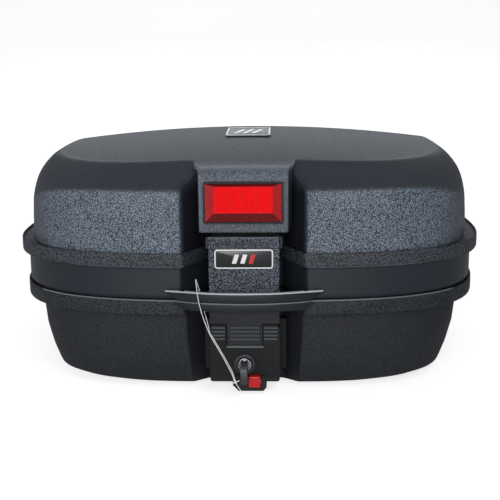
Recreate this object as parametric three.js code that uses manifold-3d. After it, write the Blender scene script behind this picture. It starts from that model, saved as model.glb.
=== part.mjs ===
// Motorcycle top case: a hinged luggage box with a base tub, a lid built from a dome and a
// frame ring, a front latch flap with a key lock, a carry handle and a red release button.
// Millimetres, +Z up. The latch side (the rear of the motorcycle, called the front here) faces
// -Y, the hinges are at +Y and +X is called right. Pieces are drawn with z = 0 on the underside
// of the tub's floor, in the symmetry plane; the whole is then raised to stand on its feet.
import * as THREE from "three";
import { LoftGeometry } from "three/addons/geometries/LoftGeometry.js";
import { RoundedBoxGeometry } from "three/addons/geometries/RoundedBoxGeometry.js";
import { mergeVertices } from "three/addons/utils/BufferGeometryUtils.js";
import Module from "manifold-3d";

const wasm = await Module();
wasm.setup();

// ---------------------------------------------------------------- driving dimensions
const WALL = 3; // moulded wall thickness of the shells
const EDGE_T = 2.8; // thickness of the lid's lip and of the base rim
const CHAMFER = 1.2; // along the lower edge of the lip and of the rim
const GROUND = 3.3; // height of the tub's floor above the ground

// Plan outlines are superellipse arcs that meet at the widest section.
const WIDEST_Y = 60;
const ROUND_X = 3.05; // exponents of the front half, across and along
const ROUND_Y = 3.85;
const ROUND_BACK = 6; // exponent of the back half
const FRONT_STEPS = 11;
const DOME_FRONT_STEPS = 13;
const BACK_STEPS = 8;

// half width, front y and back y of the main outlines
const LIP = { half: 290, front: -210, back: 210 }; // outside of the lid's lip
const RIM = { half: 284.4, front: -209, back: 208 }; // outside of the base rim
const BAND = { half: 282, front: -206.5, back: 203 }; // smooth band between lip and rim
const TONGUE = { half: 278.4, front: -203.2, back: 202 }; // foot of the band, inside the rim

const RIM_LOW_Z = 89.5;
const RIM_TOP_Z = 108;
const LEDGE_Z = 97; // ledge inside the rim that carries the seal
const SEAM_Z = 108.4; // lower edge of the band, just above the rim
const LIP_LOW_Z = 144.5;
const LIP_TOP_Z = 161;
const SHELF_Z = 158; // shelf between the lip and the dome
const PILLAR_LOW_Z = 182.5; // underside of the dome's central pillar

const HINGE = { x: 130, y: 219, z: 112, pin: 2, knuckle: 4.6, half: 30 };
const HINGE_SCREW = { x: 22, baseZ: 93.4, lidZ: 128 }; // x is measured from the hinge's middle
// y and z are the flap's pivot
const FLAP = {
  y: -190, z: 170, front: -203, half: 39.2, top: 178, shoulder: 79, tongueLow: 53.6, tongueHalf: 20,
};
const LOCK = { x: 0, z: 32.5, front: -204.5, back: -160.8 };
const LOCK_SCREWS = [
  // x, z, front y of the boss
  [-31, 25.5, -202],
  [31, 25.5, -202],
  [-31, 57, -188],
  [31, 57, -188],
];
const BUTTON = { x: 10.8, z: 12.8, half: 6.7, stemZ: 14.8 };
const BOLT = { y: -183.5, z: 69.5, half: 3, guideHalf: 3.35 };
const CAM_R = 14; // from the lock's axis to the cam's pin
const HANDLE_SCREW = { x: 70.8, z: 104.6 };
const BRACKET_SCREW = { x: 26, z: 171 };

// ---------------------------------------------------------------- solid helpers
const vec = (x, y, z) => new THREE.Vector3(x, y, z);
const shift = (x, y, z) => new THREE.Matrix4().makeTranslation(x, y, z);
const turnX = (angle) => new THREE.Matrix4().makeRotationX(angle);
const turnZ = (angle) => new THREE.Matrix4().makeRotationZ(angle);
const around = (centre, half) => [centre - half, centre + half];
const middle = ([a, b]) => (a + b) / 2;
const extent = ([a, b]) => Math.abs(b - a);

// Welds a geometry, drops its degenerate triangles and makes a Manifold of it.
function solid(geometry, matrix) {
  const loose = geometry.index ? geometry.toNonIndexed() : geometry.clone();
  if (matrix) loose.applyMatrix4(matrix);
  const bare = new THREE.BufferGeometry();
  bare.setAttribute("position", loose.getAttribute("position"));
  const merged = mergeVertices(bare, 1e-3);
  const index = merged.index.array;
  const kept = [];
  for (let i = 0; i < index.length; i += 3) {
    const [a, b, c] = [index[i], index[i + 1], index[i + 2]];
    if (a !== b && b !== c && a !== c) kept.push(a, b, c);
  }
  const mesh = new wasm.Mesh({
    numProp: 3,
    vertProperties: new Float32Array(merged.attributes.position.array),
    triVerts: new Uint32Array(kept),
  });
  return new wasm.Manifold(mesh);
}

function geometryOf(body) {
  const mesh = body.getMesh();
  const geometry = new THREE.BufferGeometry();
  const positions = new Float32Array(mesh.vertProperties);
  geometry.setAttribute("position", new THREE.BufferAttribute(positions, 3));
  geometry.setIndex(new THREE.BufferAttribute(new Uint32Array(mesh.triVerts), 1));
  geometry.computeVertexNormals();
  return geometry;
}

const join = (body, ...others) => others.reduce((sum, other) => sum.add(other), body);
const cut = (body, ...tools) => tools.reduce((rest, tool) => rest.subtract(tool), body);

// An axis-aligned block given by its ranges in x, y and z.
const block = (xs, ys, zs) =>
  solid(
    new THREE.BoxGeometry(extent(xs), extent(ys), extent(zs)),
    shift(middle(xs), middle(ys), middle(zs)),
  );
const roundedBlock = (xs, ys, zs, radius, segments) =>
  solid(
    new RoundedBoxGeometry(extent(xs), extent(ys), extent(zs), segments, radius),
    shift(middle(xs), middle(ys), middle(zs)),
  );

// Rods along each axis, between two stations.
const rod = (radius, range, sides, matrix) =>
  solid(new THREE.CylinderGeometry(radius, radius, extent(range), sides), matrix);
const rodX = (y, z, radius, xs, sides = 24) =>
  rod(radius, xs, sides, shift(middle(xs), y, z).multiply(turnZ(Math.PI / 2)));
const rodY = (x, z, radius, ys, sides = 24) => rod(radius, ys, sides, shift(x, middle(ys), z));
const rodZ = (x, y, radius, zs, sides = 24) =>
  rod(radius, zs, sides, shift(x, y, middle(zs)).multiply(turnX(Math.PI / 2)));

const extrude = (shape, depth, matrix, curveSegments = 12) =>
  solid(new THREE.ExtrudeGeometry(shape, { depth, bevelEnabled: false, curveSegments }), matrix);
const shapeOf = (points) => new THREE.Shape(points.map(([a, b]) => new THREE.Vector2(a, b)));
// A plate drawn in X-Z. The shape's Z becomes -Y, so it starts at the larger y.
const plateXZ = (points, [y0, y1]) =>
  extrude(shapeOf(points), y1 - y0, shift(0, y1, 0).multiply(turnX(Math.PI / 2)));
// A plate drawn in X-Y.
const plateXY = (points, [z0, z1]) => extrude(shapeOf(points), z1 - z0, shift(0, 0, z0));

const loft = (sections) => solid(new LoftGeometry(sections, { capStart: true, capEnd: true }));
// A hollow ring: its last section repeats the first.
const loftRing = (sections) => solid(new LoftGeometry(sections));

// The left half of a symmetric point list, and the whole list, from the right half.
const mirrored = (points) => points.map(([x, ...rest]) => [-x, ...rest]).reverse();
const symmetric = (rightHalf) => [...mirrored(rightHalf), ...rightHalf];

// Horizontal grip ridges stacked upwards on a front face.
function ridges({ xs, face, proud, low, pitch, height, count }) {
  return Array.from({ length: count }, (_, i) =>
    block(xs, [face - proud, face + 0.2], [low + i * pitch, low + i * pitch + height]),
  );
}

// Five-sided section of a spring or of the cord.
function wireShape(radius) {
  const points = [];
  for (let i = 0; i < 5; i++) {
    const angle = (i / 5) * Math.PI * 2;
    points.push([radius * Math.cos(angle), radius * Math.sin(angle)]);
  }
  return shapeOf(points);
}
const sweep = (wireRadius, extrudePath, steps) =>
  solid(new THREE.ExtrudeGeometry(wireShape(wireRadius), { steps, extrudePath }));

// place(t, cos, sin) gives the point at t along the spring, from the coil's cosine and sine.
class Helix extends THREE.Curve {
  constructor(turns, place) {
    super();
    this.turns = turns;
    this.place = place;
  }
  getPoint(t) {
    const angle = t * this.turns * Math.PI * 2;
    return this.place(t, Math.cos(angle), Math.sin(angle));
  }
}
const spring = ({ turns, stepsPerTurn, wireRadius, place }) =>
  sweep(wireRadius, new Helix(turns, place), turns * stepsPerTurn);

// ---------------------------------------------------------------- plan outlines
// Points at equal distances along a polyline.
function resample(points, steps) {
  const length = [0];
  for (let i = 1; i < points.length; i++) {
    const [dx, dy] = [points[i][0] - points[i - 1][0], points[i][1] - points[i - 1][1]];
    length.push(length[i - 1] + Math.hypot(dx, dy));
  }
  const out = [];
  let j = 0;
  for (let k = 0; k <= steps; k++) {
    const wanted = (length[length.length - 1] * k) / steps;
    while (j < points.length - 2 && length[j + 1] < wanted) j++;
    const t = (wanted - length[j]) / Math.max(length[j + 1] - length[j], 1e-9);
    const [from, to] = [points[j], points[j + 1]];
    out.push([from[0] + (to[0] - from[0]) * t, from[1] + (to[1] - from[1]) * t]);
  }
  return out;
}

// Right front curve, from startAngle (0 is the symmetry plane) to the widest section.
function frontCurve({ half, front, roundX = ROUND_X, roundY = ROUND_Y }, startAngle, samples) {
  const points = [];
  for (let i = 0; i <= samples; i++) {
    const angle = startAngle + ((Math.PI / 2 - startAngle) * i) / samples;
    points.push([
      half * Math.pow(Math.sin(angle), 2 / roundX),
      WIDEST_Y - (WIDEST_Y - front) * Math.pow(Math.max(Math.cos(angle), 0), 2 / roundY),
    ]);
  }
  return points;
}

// Right back curve, from just after the widest section to the middle of the back.
function backCurve({ half, back }, samples) {
  const points = [];
  for (let i = 0; i <= samples; i++) {
    const angle = (Math.PI / 2) * (i / samples);
    points.push([
      half * Math.pow(Math.max(Math.cos(angle), 0), 2 / ROUND_BACK),
      WIDEST_Y + (back - WIDEST_Y) * Math.pow(Math.sin(angle), 2 / ROUND_BACK),
    ]);
  }
  const even = resample(points, BACK_STEPS);
  even[BACK_STEPS][0] = 0;
  return even.slice(1);
}

// Closed outline with the front recess, counter-clockwise from above. The recess is given by
// x of its mouth, x of its floor's corner, x of a second floor point, and y of its floor.
function outline(plan, [mouth, corner, floorX, floorY], z) {
  const { half, roundX = ROUND_X } = plan;
  const startAngle = Math.asin(Math.pow(mouth / half, roundX / 2));
  const right = [
    [floorX, floorY],
    [corner, floorY],
    ...resample(frontCurve(plan, startAngle, 240), FRONT_STEPS),
    ...backCurve(plan, 240),
  ];
  return [...right, ...mirrored(right.slice(0, -1))].map(([x, y]) => vec(x, y, z));
}

// Moves every point of an outline towards the inside in plan, and by dz in height.
function inset(points, distance, dz = 0) {
  const count = points.length;
  return points.map((point, i) => {
    const before = points[(i + count - 1) % count];
    const after = points[(i + 1) % count];
    const edgeIn = new THREE.Vector2(point.x - before.x, point.y - before.y).normalize();
    const edgeOut = new THREE.Vector2(after.x - point.x, after.y - point.y).normalize();
    const normalIn = new THREE.Vector2(-edgeIn.y, edgeIn.x);
    const normalOut = new THREE.Vector2(-edgeOut.y, edgeOut.x);
    const mitre = normalIn.clone().add(normalOut).normalize();
    const move = Math.min(distance / Math.max(mitre.dot(normalIn), 0.25), distance * 1.6);
    return vec(point.x + mitre.x * move, point.y + mitre.y * move, point.z + dz);
  });
}
const setZ = (points, z) => points.map((point) => vec(point.x, point.y, z));

// ---------------------------------------------------------------- dome
const DOME_LEVELS = [
  // half width, front y, back y, z at the sides, extra z at the front, inset and drop of the inside
  [275, -206, 205, 158.4, 0, WALL, 2],
  [275, -206, 205, 166, 0, WALL, 0],
  [273.4, -203.5, 204, 207, 22, WALL, 0],
  [271.2, -194.6, 203, 222, 12, WALL, 1.2],
  [266.8, -185.7, 200, 235.5, 3.7, 2, 1.2],
  [259.5, -176.8, 194, 247, -2.5, 2, 2.4],
  [250.5, -167.9, 185, 256.5, -6.8, 2, 2.4],
  [242.5, -159, 174, 262, -7, 2, 2.4],
];
const CREASE = { half: 234.5, front: -150, back: 160 }; // edge of the crown
// The crown is parabolic: each fall is reached at its distance from the highest point.
const CROWN = { top: 282, side: [15, 232], front: [22, 210], back: [16, 100] };
const CROWN_SCALES = [0.8, 0.55, 0.25]; // of the crease, about CROWN_CENTRE_Y
const CROWN_CENTRE_Y = 20;

function crownZ(x, y) {
  const [sideFall, sideReach] = CROWN.side;
  const [fall, reach] = y < WIDEST_Y ? CROWN.front : CROWN.back;
  return (
    CROWN.top - sideFall * Math.pow(x / sideReach, 2) - fall * Math.pow((y - WIDEST_Y) / reach, 2)
  );
}

// Outline without the recess; heightAt(x, y) gives z.
function domeOutline(plan, heightAt) {
  const front = resample(frontCurve(plan, 0, DOME_FRONT_STEPS), DOME_FRONT_STEPS);
  const right = [...front, ...backCurve(plan, 120)];
  const all = [...right, ...mirrored(right.slice(1, -1))];
  return all.map(([x, y]) => vec(x, y, heightAt(x, y)));
}

const domeOuter = [];
const domeInner = [];
for (const [half, front, back, sideZ, frontRise, insideInset, insideDrop] of DOME_LEVELS) {
  const heightAt = (x, y) => {
    const depth = (WIDEST_Y - y) / (WIDEST_Y - front);
    return sideZ + frontRise * THREE.MathUtils.smoothstep(depth, 0.5, 0.95);
  };
  const section = domeOutline({ half, front, back }, heightAt);
  domeOuter.push(section);
  domeInner.push(inset(section, insideInset, -insideDrop));
}
const crease = domeOutline(CREASE, crownZ);
const crownSection = (scale, dz) =>
  crease.map((point) => {
    const x = point.x * scale;
    const y = CROWN_CENTRE_Y + (point.y - CROWN_CENTRE_Y) * scale;
    return vec(x, y, crownZ(x, y) + dz);
  });
domeOuter.push(crease, ...CROWN_SCALES.map((scale) => crownSection(scale, 0)));
domeInner.push(inset(crease, 1, -WALL), ...CROWN_SCALES.map((scale) => crownSection(scale, -WALL)));

// The central pillar: upright front, rounded and flared at the top where it meets the crown.
const PILLAR_LEVELS = [
  // z, half width at the face, face y, half width at the root, root y
  [PILLAR_LOW_Z, 49.5, -199.5, 52, -160],
  [243, 49.5, -199.5, 52, -160],
  [248.5, 49.7, -198.2, 52.5, -158],
  [253, 50.7, -194.5, 53.5, -156],
  [256.2, 52.3, -188, 55, -152],
  [258, 54.3, -178, 57, -145],
  [258.8, 56.5, -164, 58.5, -138],
];
const PILLAR_CORNER = 2.5; // bevel of the upright edges

function pillar(wall) {
  const sections = PILLAR_LEVELS.map(([levelZ, faceHalf, faceY, rootHalf, rootY], i) => {
    const dz = i === 0 ? wall : i === 1 ? 0 : -0.9 * wall;
    const right = [
      [faceHalf - wall - PILLAR_CORNER, faceY + wall],
      [faceHalf - wall, faceY + PILLAR_CORNER + wall],
      [rootHalf - wall, rootY + wall],
    ];
    return symmetric(right).map(([x, y]) => vec(x, y, levelZ + dz));
  });
  return loft(sections);
}

// Cuts the front away between the slanted flanks, the upper part around the pillar and the
// lower part below it. A larger margin leaves room for the wall.
function domeBody(sections, margin) {
  const upper = [
    [51 + margin, -169 + margin],
    [70.5 + margin, -203.5],
    [82.5 + margin, -245],
  ];
  const lower = [
    [45 + margin, -149.3 + margin],
    [70.5 + margin, -205],
    [81.5 + margin, -232],
  ];
  return loft(sections)
    .subtract(plateXY(symmetric(upper), [PILLAR_LOW_Z, 262]))
    .subtract(plateXY(symmetric(lower), [140, PILLAR_LOW_Z + margin]))
    .add(pillar(margin));
}

const bracketDrills = [-1, 1].map((side) =>
  rodY(side * BRACKET_SCREW.x, BRACKET_SCREW.z, 2.0, [-160, -130], 14),
);
const dome = cut(domeBody(domeOuter, 0), domeBody(domeInner, WALL), ...bracketDrills);

// ---------------------------------------------------------------- frame ring of the lid
const insideOf = ({ half, front, back }) => ({
  half: half - WALL,
  front: front + WALL,
  back: back - WALL,
});

function makeLidRing() {
  const lip = outline(LIP, [67.5, 40, 36.5, -153.5], LIP_LOW_Z + CHAMFER);
  const lipTop = setZ(lip, LIP_TOP_Z);
  const lipIn = inset(lipTop, EDGE_T);
  const band = outline(BAND, [70.5, 42.5, 38, -149.8], SEAM_Z);
  const bandIn = outline(insideOf(BAND), [74, 47, 41, -146.6], 141.5);
  const tongue = outline(TONGUE, [70, 44.5, 39.5, -146.3], 101);
  const tongueIn = outline(insideOf(TONGUE), [73.5, 49.5, 43, -143], 101);
  // low upright inside the dome that centres it on the ring
  const upstand = outline(
    { half: 270.8, front: -202, back: 201 }, [76, 49.5, 43, -145], 166,
  );
  const upstandIn = outline(
    { half: 267.8, front: -199.2, back: 198.2 }, [79.5, 53.5, 46, -142.8], 166,
  );
  return loftRing([
    tongueIn,
    tongue,
    setZ(tongue, SEAM_Z),
    band,
    setZ(band, LIP_LOW_Z),
    inset(setZ(lip, LIP_LOW_Z), CHAMFER),
    lip,
    lipTop,
    lipIn,
    setZ(lipIn, SHELF_Z),
    setZ(upstand, SHELF_Z),
    upstand,
    upstandIn,
    setZ(upstandIn, LIP_LOW_Z),
    bandIn,
    setZ(bandIn, 112),
    setZ(tongueIn, 109.6),
    tongueIn,
  ]);
}

// ---------------------------------------------------------------- base tub
const TUB_LEVELS = [
  // z, half width, front y, back y, recess (as in outline), roundness across and along
  [0, 210, -174, 184, [61, 45, 41, -160.5], 4.4, 4.6],
  [3.5, 231, -179, 190, [61, 44, 40, -157.5], 4.4, 4.6],
  [10, 244.5, -187.5, 194, [62, 43.5, 40, -157.5], 4.4, 4.6],
  [30, 253, -194.5, 198, [63, 43.5, 40, -157.5], 4, 4.4],
  [54, 261, -198.5, 200, [65, 43.5, 40, -157.5], 3.6, 4.2],
  [88, 267.5, -202, 202, [66, 43, 40, -157.5], ROUND_X, ROUND_Y],
];
const rim = outline(RIM, [67, 41, 37, -153], RIM_LOW_Z + CHAMFER);
const rimTop = setZ(rim, RIM_TOP_Z);
const rimIn = inset(rimTop, EDGE_T);

function makeTub() {
  const levels = TUB_LEVELS.map(([z, half, front, back, recess, roundX, roundY]) =>
    outline({ half, front, back, roundX, roundY }, recess, z),
  );
  const walls = levels.slice(2).map((level) => inset(level, WALL));
  const outside = [...levels, inset(setZ(rim, RIM_LOW_Z), CHAMFER), rim, rimTop];
  const inside = [
    setZ(inset(levels[0], WALL), WALL + 0.2),
    setZ(inset(levels[1], WALL + 1), WALL + 2),
    ...walls,
    setZ(walls[walls.length - 1], LEDGE_Z),
    setZ(rimIn, LEDGE_Z),
    setZ(rimIn, RIM_TOP_Z + 2),
  ];
  return loft(outside).subtract(loft(inside));
}

// Rubber ring on the ledge, with a ridge along its top.
function makeRimSeal() {
  const outer = inset(rimIn, 1.2);
  const inner = inset(outer, 5);
  const [low, high] = [LEDGE_Z + 0.3, LEDGE_Z + 2.6];
  return loftRing([
    setZ(inner, low),
    setZ(outer, low),
    setZ(outer, high),
    setZ(inset(outer, 2.5), high + 1),
    setZ(inner, high),
    setZ(inner, low),
  ]);
}

// ---------------------------------------------------------------- carry handle
// A bow across the recess. Its upper part runs out into wings over the curved rim.
const HANDLE = { half: 88, innerHalf: 70, low: 101.3, wingLow: 109.3, top: 120.5 };

function makeHandle() {
  const arc = (half, endY, reach, power) =>
    Array.from({ length: 21 }, (_, i) => {
      const t = -1 + i / 10;
      return [half * t, endY - reach * (1 - Math.pow(Math.abs(t), power))];
    });
  const across = Math.pow(HANDLE.half / RIM.half, ROUND_X);
  const rimY = WIDEST_Y - (WIDEST_Y - RIM.front) * Math.pow(1 - across, 1 / ROUND_Y);
  const wingFront = rimY - 2.2;
  const wingBack = rimY - 0.35;
  const bow = [
    [-HANDLE.half, wingFront],
    ...arc(HANDLE.half, -210.6, 18.6, 2.2).slice(1, -1),
    [HANDLE.half, wingFront],
    [HANDLE.half, wingBack],
    ...arc(HANDLE.innerHalf, -209.5, 13.5, 2.4).reverse(),
    [-HANDLE.half, wingBack],
  ];
  let handle = plateXY(bow, [HANDLE.low, HANDLE.top]);
  for (const side of [-1, 1]) {
    handle = handle
      .subtract(block([side * 73.6, side * 100], [-240, -200], [100, HANDLE.wingLow]))
      // pad that bears on the rim, held by a screw from the inside
      .add(block([side * 68.2, side * 73.5], [-212, -208.3], [HANDLE.low, 107.8]))
      .subtract(rodY(side * HANDLE_SCREW.x, HANDLE_SCREW.z, 1.7, [-214.3, -200], 14));
  }
  return handle;
}

// ---------------------------------------------------------------- latch flap on the lid
function makeFlap() {
  const { y, z, front, half, tongueHalf, tongueLow } = FLAP;
  const right = [
    [tongueHalf - 1.2, tongueLow],
    [tongueHalf, tongueLow + 1.2],
    [tongueHalf, FLAP.shoulder],
    [half, FLAP.shoulder],
    [half, FLAP.top],
  ];
  const skirtBack = front + 5.9;
  let flap = plateXZ(symmetric(right), [front, front + 6])
    .add(block([-half, half], [skirtBack, front + 11], [82, 164]))
    .subtract(block(around(0, half - 2.6), [front + 3.2, front + 12], [84.6, 161]));
  for (const xs of [[-36, -13], [13, 36]]) {
    flap = flap.add(rodX(y, z, 5, xs, 20)).add(block(xs, [skirtBack, y], [z - 5, z + 4.6]));
  }
  flap = flap.subtract(rodX(y, z, 2.15, [-60, 60], 20));
  const tongueGrip = { proud: 0.9, low: 60, pitch: 4.6, height: 2.2, count: 4 };
  const headGrip = { proud: 0.6, low: 166.4, pitch: 2.8, height: 1.2, count: 3 };
  return join(
    flap,
    ...ridges({ xs: [-16.5, 16.5], face: front, ...tongueGrip }),
    ...ridges({ xs: [-30, 30], face: front, ...headGrip }),
  );
}

// A plate with rounded corners, raised along the matrix's Z.
function badge(halfWidth, halfHeight, radius, thickness, matrix) {
  const [w, h] = [halfWidth, halfHeight];
  const shape = new THREE.Shape();
  shape.moveTo(-w + radius, -h);
  shape.lineTo(w - radius, -h);
  shape.quadraticCurveTo(w, -h, w, -h + radius);
  shape.lineTo(w, h - radius);
  shape.quadraticCurveTo(w, h, w - radius, h);
  shape.lineTo(-w + radius, h);
  shape.quadraticCurveTo(-w, h, -w, h - radius);
  shape.lineTo(-w, -h + radius);
  shape.quadraticCurveTo(-w, -h, -w + radius, -h);
  return extrude(shape, thickness, matrix, 4);
}
const flapBadge = badge(
  32.6, 11, 3.4, 0.9,
  shift(0, FLAP.front - 0.3, 154).multiply(turnX(Math.PI / 2)),
);

// Badge on the crown, tilted with the surface.
function makeLidBadge() {
  const centreY = -12;
  const half = 34;
  const rise = crownZ(0, centreY + half) - crownZ(0, centreY - half);
  const place = shift(0, centreY, crownZ(0, centreY) + 0.4);
  return badge(28, half, 4, 1.2, place.multiply(turnX(Math.atan(rise / (2 * half)))));
}

// Bracket that carries the flap pin, fixed to the recess floor.
function makeBracket() {
  const plateY = [-152.2, -149.8];
  const armZ = [164, 177];
  let bracket = block([-39.5, 39.5], plateY, [162, 178]);
  for (const side of [-1, 1]) {
    bracket = bracket
      .add(block([side * 40.2, side * 42.6], [-194.5, plateY[1]], armZ))
      .add(block([side * 39, side * 42.6], plateY, armZ));
  }
  return cut(bracket, rodX(FLAP.y, FLAP.z, 2.05, [-60, 60]), ...bracketDrills);
}
const flapPin = rodX(FLAP.y, FLAP.z, 1.8, [-43.6, 43.6], 16);

// A steel eye behind the tongue that the bolt passes through.
const striker = block([-7, 7], [-196.6, -195], [60, 78])
  .add(block([-1.5, 1.5], [-195.2, -177], [62, 77]))
  .subtract(block([-3, 3], [-188, -179.2], [65, 74]));

// Torsion spring round the flap pin, between the two knuckles.
const flapSpring = spring({
  turns: 7,
  stepsPerTurn: 9,
  wireRadius: 0.6,
  place: (t, cos, sin) => vec(-10.5 + 21 * t, FLAP.y + 3.2 * cos, FLAP.z + 3.2 * sin),
});

// ---------------------------------------------------------------- lock housing on the base
const lockDrills = LOCK_SCREWS.map(([x, z]) => rodY(x, z, 2.2, [-178, -140], 14));

function makeHousing() {
  const bodyRight = [[37.5, 11.5], [39.5, 13.5], [39.5, 75], [36.5, 78.5]];
  const chin = [[-14, 8], [-7.5, 1], [21, 1], [24.5, 5.5], [24.5, 19.4], [-14, 19.4]];
  // wings at the back that close the recess on both sides, in X-Y
  const wingRight = [[47.2, -174.5], [47.2, -172], [44.4, LOCK.back]];
  let housing = join(
    plateXZ(symmetric(bodyRight), [LOCK.front, LOCK.back]),
    plateXZ(chin, [-207, -168]),
    plateXY(symmetric(wingRight), [17, 77]),
  );
  housing = cut(
    housing,
    block([-35.6, 35.6], [-201.6, -150], [20.5, 49.8]), // lower cavity
    block([-35.6, 35.6], [-187.4, -150], [49, 75.6]), // upper cavity
    block([-20.8, 20.8], [-210, -190.4], [52.4, 90]), // pocket for the flap's tongue
  );

  // guides for the bolt either side of the striker slot: a ring on the left, shelves on the right
  const boltY = around(BOLT.y, BOLT.guideHalf);
  const boltZ = around(BOLT.z, BOLT.guideHalf);
  const [guideLow, guideTop] = [63, 75.8];
  const guideRing = block([-10.5, -7.5], [-187.6, -177], [guideLow, guideTop]);
  housing = join(
    housing,
    guideRing.subtract(block([-36, 36], boltY, boltZ)),
    block([7.5, 22], [-187.6, -178], [guideLow, boltZ[0]]),
    block([7.5, 22], [-187.6, -178], [boltZ[1], guideTop]),
  );
  housing = cut(
    housing,
    block([-3.4, 3.4], [-191, -174], [59, 90]), // striker slot
    rodY(LOCK.x, LOCK.z, 7.9, [-210, -190]), // barrel hole
  );

  const bosses = LOCK_SCREWS.map(([x, z, front]) => rodY(x, z, 5.2, [front, LOCK.back], 18));
  housing = cut(join(housing, ...bosses), ...lockDrills);

  // button tunnel, and the window below it for the catch
  const tunnelX = around(BUTTON.x, BUTTON.half + 0.35);
  const tunnelZ = around(BUTTON.z, BUTTON.half + 0.35);
  housing = cut(
    housing,
    block(tunnelX, [-215, -171], tunnelZ),
    block(tunnelX, [-194.4, -171], [0, BUTTON.z]),
  );

  const grip = { face: LOCK.front, proud: 0.9, low: 61, pitch: 4.3, height: 2.1, count: 4 };
  return join(
    housing,
    ...ridges({ xs: [-37, -22], ...grip }),
    ...ridges({ xs: [22, 37], ...grip }),
  );
}
const backplate = cut(block([-36, 36], [-160.4, -158.2], [19, 76.5]), ...lockDrills);

// ---------------------------------------------------------------- key lock
const BEZEL_PROFILE = [
  // radius, distance in front of the housing
  [8.1, 0.3], [12.6, 0.3], [12.6, 1.8], [11.2, 3.3], [8.7, 3.3], [8.1, 2.4], [8.1, 0.3],
];
const lockRod = (radius, ys, sides) => rodY(LOCK.x, LOCK.z, radius, ys, sides);
const bezel = solid(
  new THREE.LatheGeometry(BEZEL_PROFILE.map(([r, h]) => new THREE.Vector2(r, h)), 32),
  shift(LOCK.x, LOCK.front, LOCK.z).multiply(turnX(Math.PI)),
);
const barrel = lockRod(7.5, [-209, -187], 28).subtract(lockRod(6, [-220, -180], 28));
const lockNut = lockRod(10.5, [-201.2, -197.4], 6).subtract(lockRod(7.8, [-210, -190], 28));
const plug = lockRod(5.7, [-208.6, -186.6], 28)
  .add(lockRod(3.6, [-186.7, -175.4], 20))
  .subtract(block(around(LOCK.x, 1.4), [-215, -188], around(LOCK.z, 4.1))); // keyway

// The cam's arm points up and to the right at 45 degrees and ends in the drive pin.
const camPinX = LOCK.x + CAM_R * Math.SQRT1_2;
const camPinZ = LOCK.z + CAM_R * Math.SQRT1_2;
function makeCam() {
  const length = CAM_R + 3;
  const place = shift(LOCK.x, -177.25, LOCK.z)
    .multiply(new THREE.Matrix4().makeRotationY(-Math.PI / 4))
    .multiply(shift(length / 2, 0, 0));
  return lockRod(6.4, [-178.6, -175.9], 20)
    .add(solid(new THREE.BoxGeometry(length, 2.7, 6.4), place))
    .add(rodY(camPinX, camPinZ, 1.8, [-178, -169.2], 14))
    .subtract(lockRod(3.9, [-200, -150], 20));
}

const keyBlade = block(around(LOCK.x, 1.1), [-213.5, -189], around(LOCK.z, 3.6)).subtract(
  block([LOCK.x - 1.6, LOCK.x - 0.5], [-230, -180], [LOCK.z - 0.6, LOCK.z + 0.7]),
);

// Key grip, drawn as (distance towards the front, height) and extruded across X.
function makeKeyBow() {
  const thickness = 7.4;
  const shape = new THREE.Shape();
  shape.moveTo(-13.1, -5);
  shape.quadraticCurveTo(-12, -12, -2, -12);
  shape.lineTo(3, -12);
  shape.quadraticCurveTo(13, -11.5, 13, 0);
  shape.quadraticCurveTo(13, 11.5, 3, 12);
  shape.lineTo(-2, 12);
  shape.quadraticCurveTo(-12, 12, -13.1, 6);
  shape.lineTo(-13.1, -5);
  const eye = new THREE.Path();
  eye.absellipse(8, 0, 2.4, 2.4, 0, Math.PI * 2, true);
  shape.holes.push(eye);
  const place = new THREE.Matrix4()
    .makeBasis(vec(0, -1, 0), vec(0, 0, 1), vec(-1, 0, 0))
    .setPosition(LOCK.x + thickness / 2, -225.4, LOCK.z - 3);
  return extrude(shape, thickness, place, 5).subtract(
    block(around(LOCK.x, 1.4), [-218, -200], around(LOCK.z, 3.9)),
  );
}

// Bolt with a cranked arm behind it; the cam pin runs in the slot at the arm's foot.
function makeBolt() {
  const right = 30;
  const boltZ = around(BOLT.z, BOLT.half);
  const armY = [-173.5, -170.5];
  return block([9.5, right], around(BOLT.y, BOLT.half), boltZ)
    .add(block([22, right], [BOLT.y + 2.9, armY[1]], boltZ))
    .add(block([camPinX - 6, right], armY, [64.5, boltZ[1]]))
    .add(block(around(camPinX, 6), armY, [38, 64.6]))
    .subtract(block(around(camPinX, 2.7), [-190, -165], [30, 50.6]));
}

// ---------------------------------------------------------------- release button and catch
const buttonX = around(BUTTON.x, BUTTON.half);
const buttonZ = around(BUTTON.z, BUTTON.half);
const button = roundedBlock(buttonX, [-211, -196], buttonZ, 1.6, 2).add(
  rodY(BUTTON.x, BUTTON.stemZ, 1.6, [-197, -186], 12),
);
const catchX = around(BUTTON.x, 5.5);
const releaseCatch = block(catchX, [-195.7, -184], [7, 9.6])
  .add(block(catchX, [-190, -187.2], [-3, 7.1]))
  .add(block(catchX, [-193.4, -189.9], [-3, -0.9])); // hook nose

// Helical spring round the button's stem.
const buttonSpring = spring({
  turns: 5,
  stepsPerTurn: 10,
  wireRadius: 0.55,
  place: (t, cos, sin) => vec(BUTTON.x + 3.4 * cos, -195 + 23 * t, BUTTON.stemZ + 3.4 * sin),
});

// ---------------------------------------------------------------- hinges
const hingeScrewXs = (side) => [-1, 1].map((end) => side * HINGE.x + end * HINGE_SCREW.x);
const baseHingeDrills = (side) =>
  hingeScrewXs(side).map((x) => rodY(x, HINGE_SCREW.baseZ, 2.2, [200.4, 215], 14));
const lidHingeDrills = (side) =>
  hingeScrewXs(side).map((x) => rodY(x, HINGE_SCREW.lidZ, 2.2, [190, 210], 14));

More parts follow.
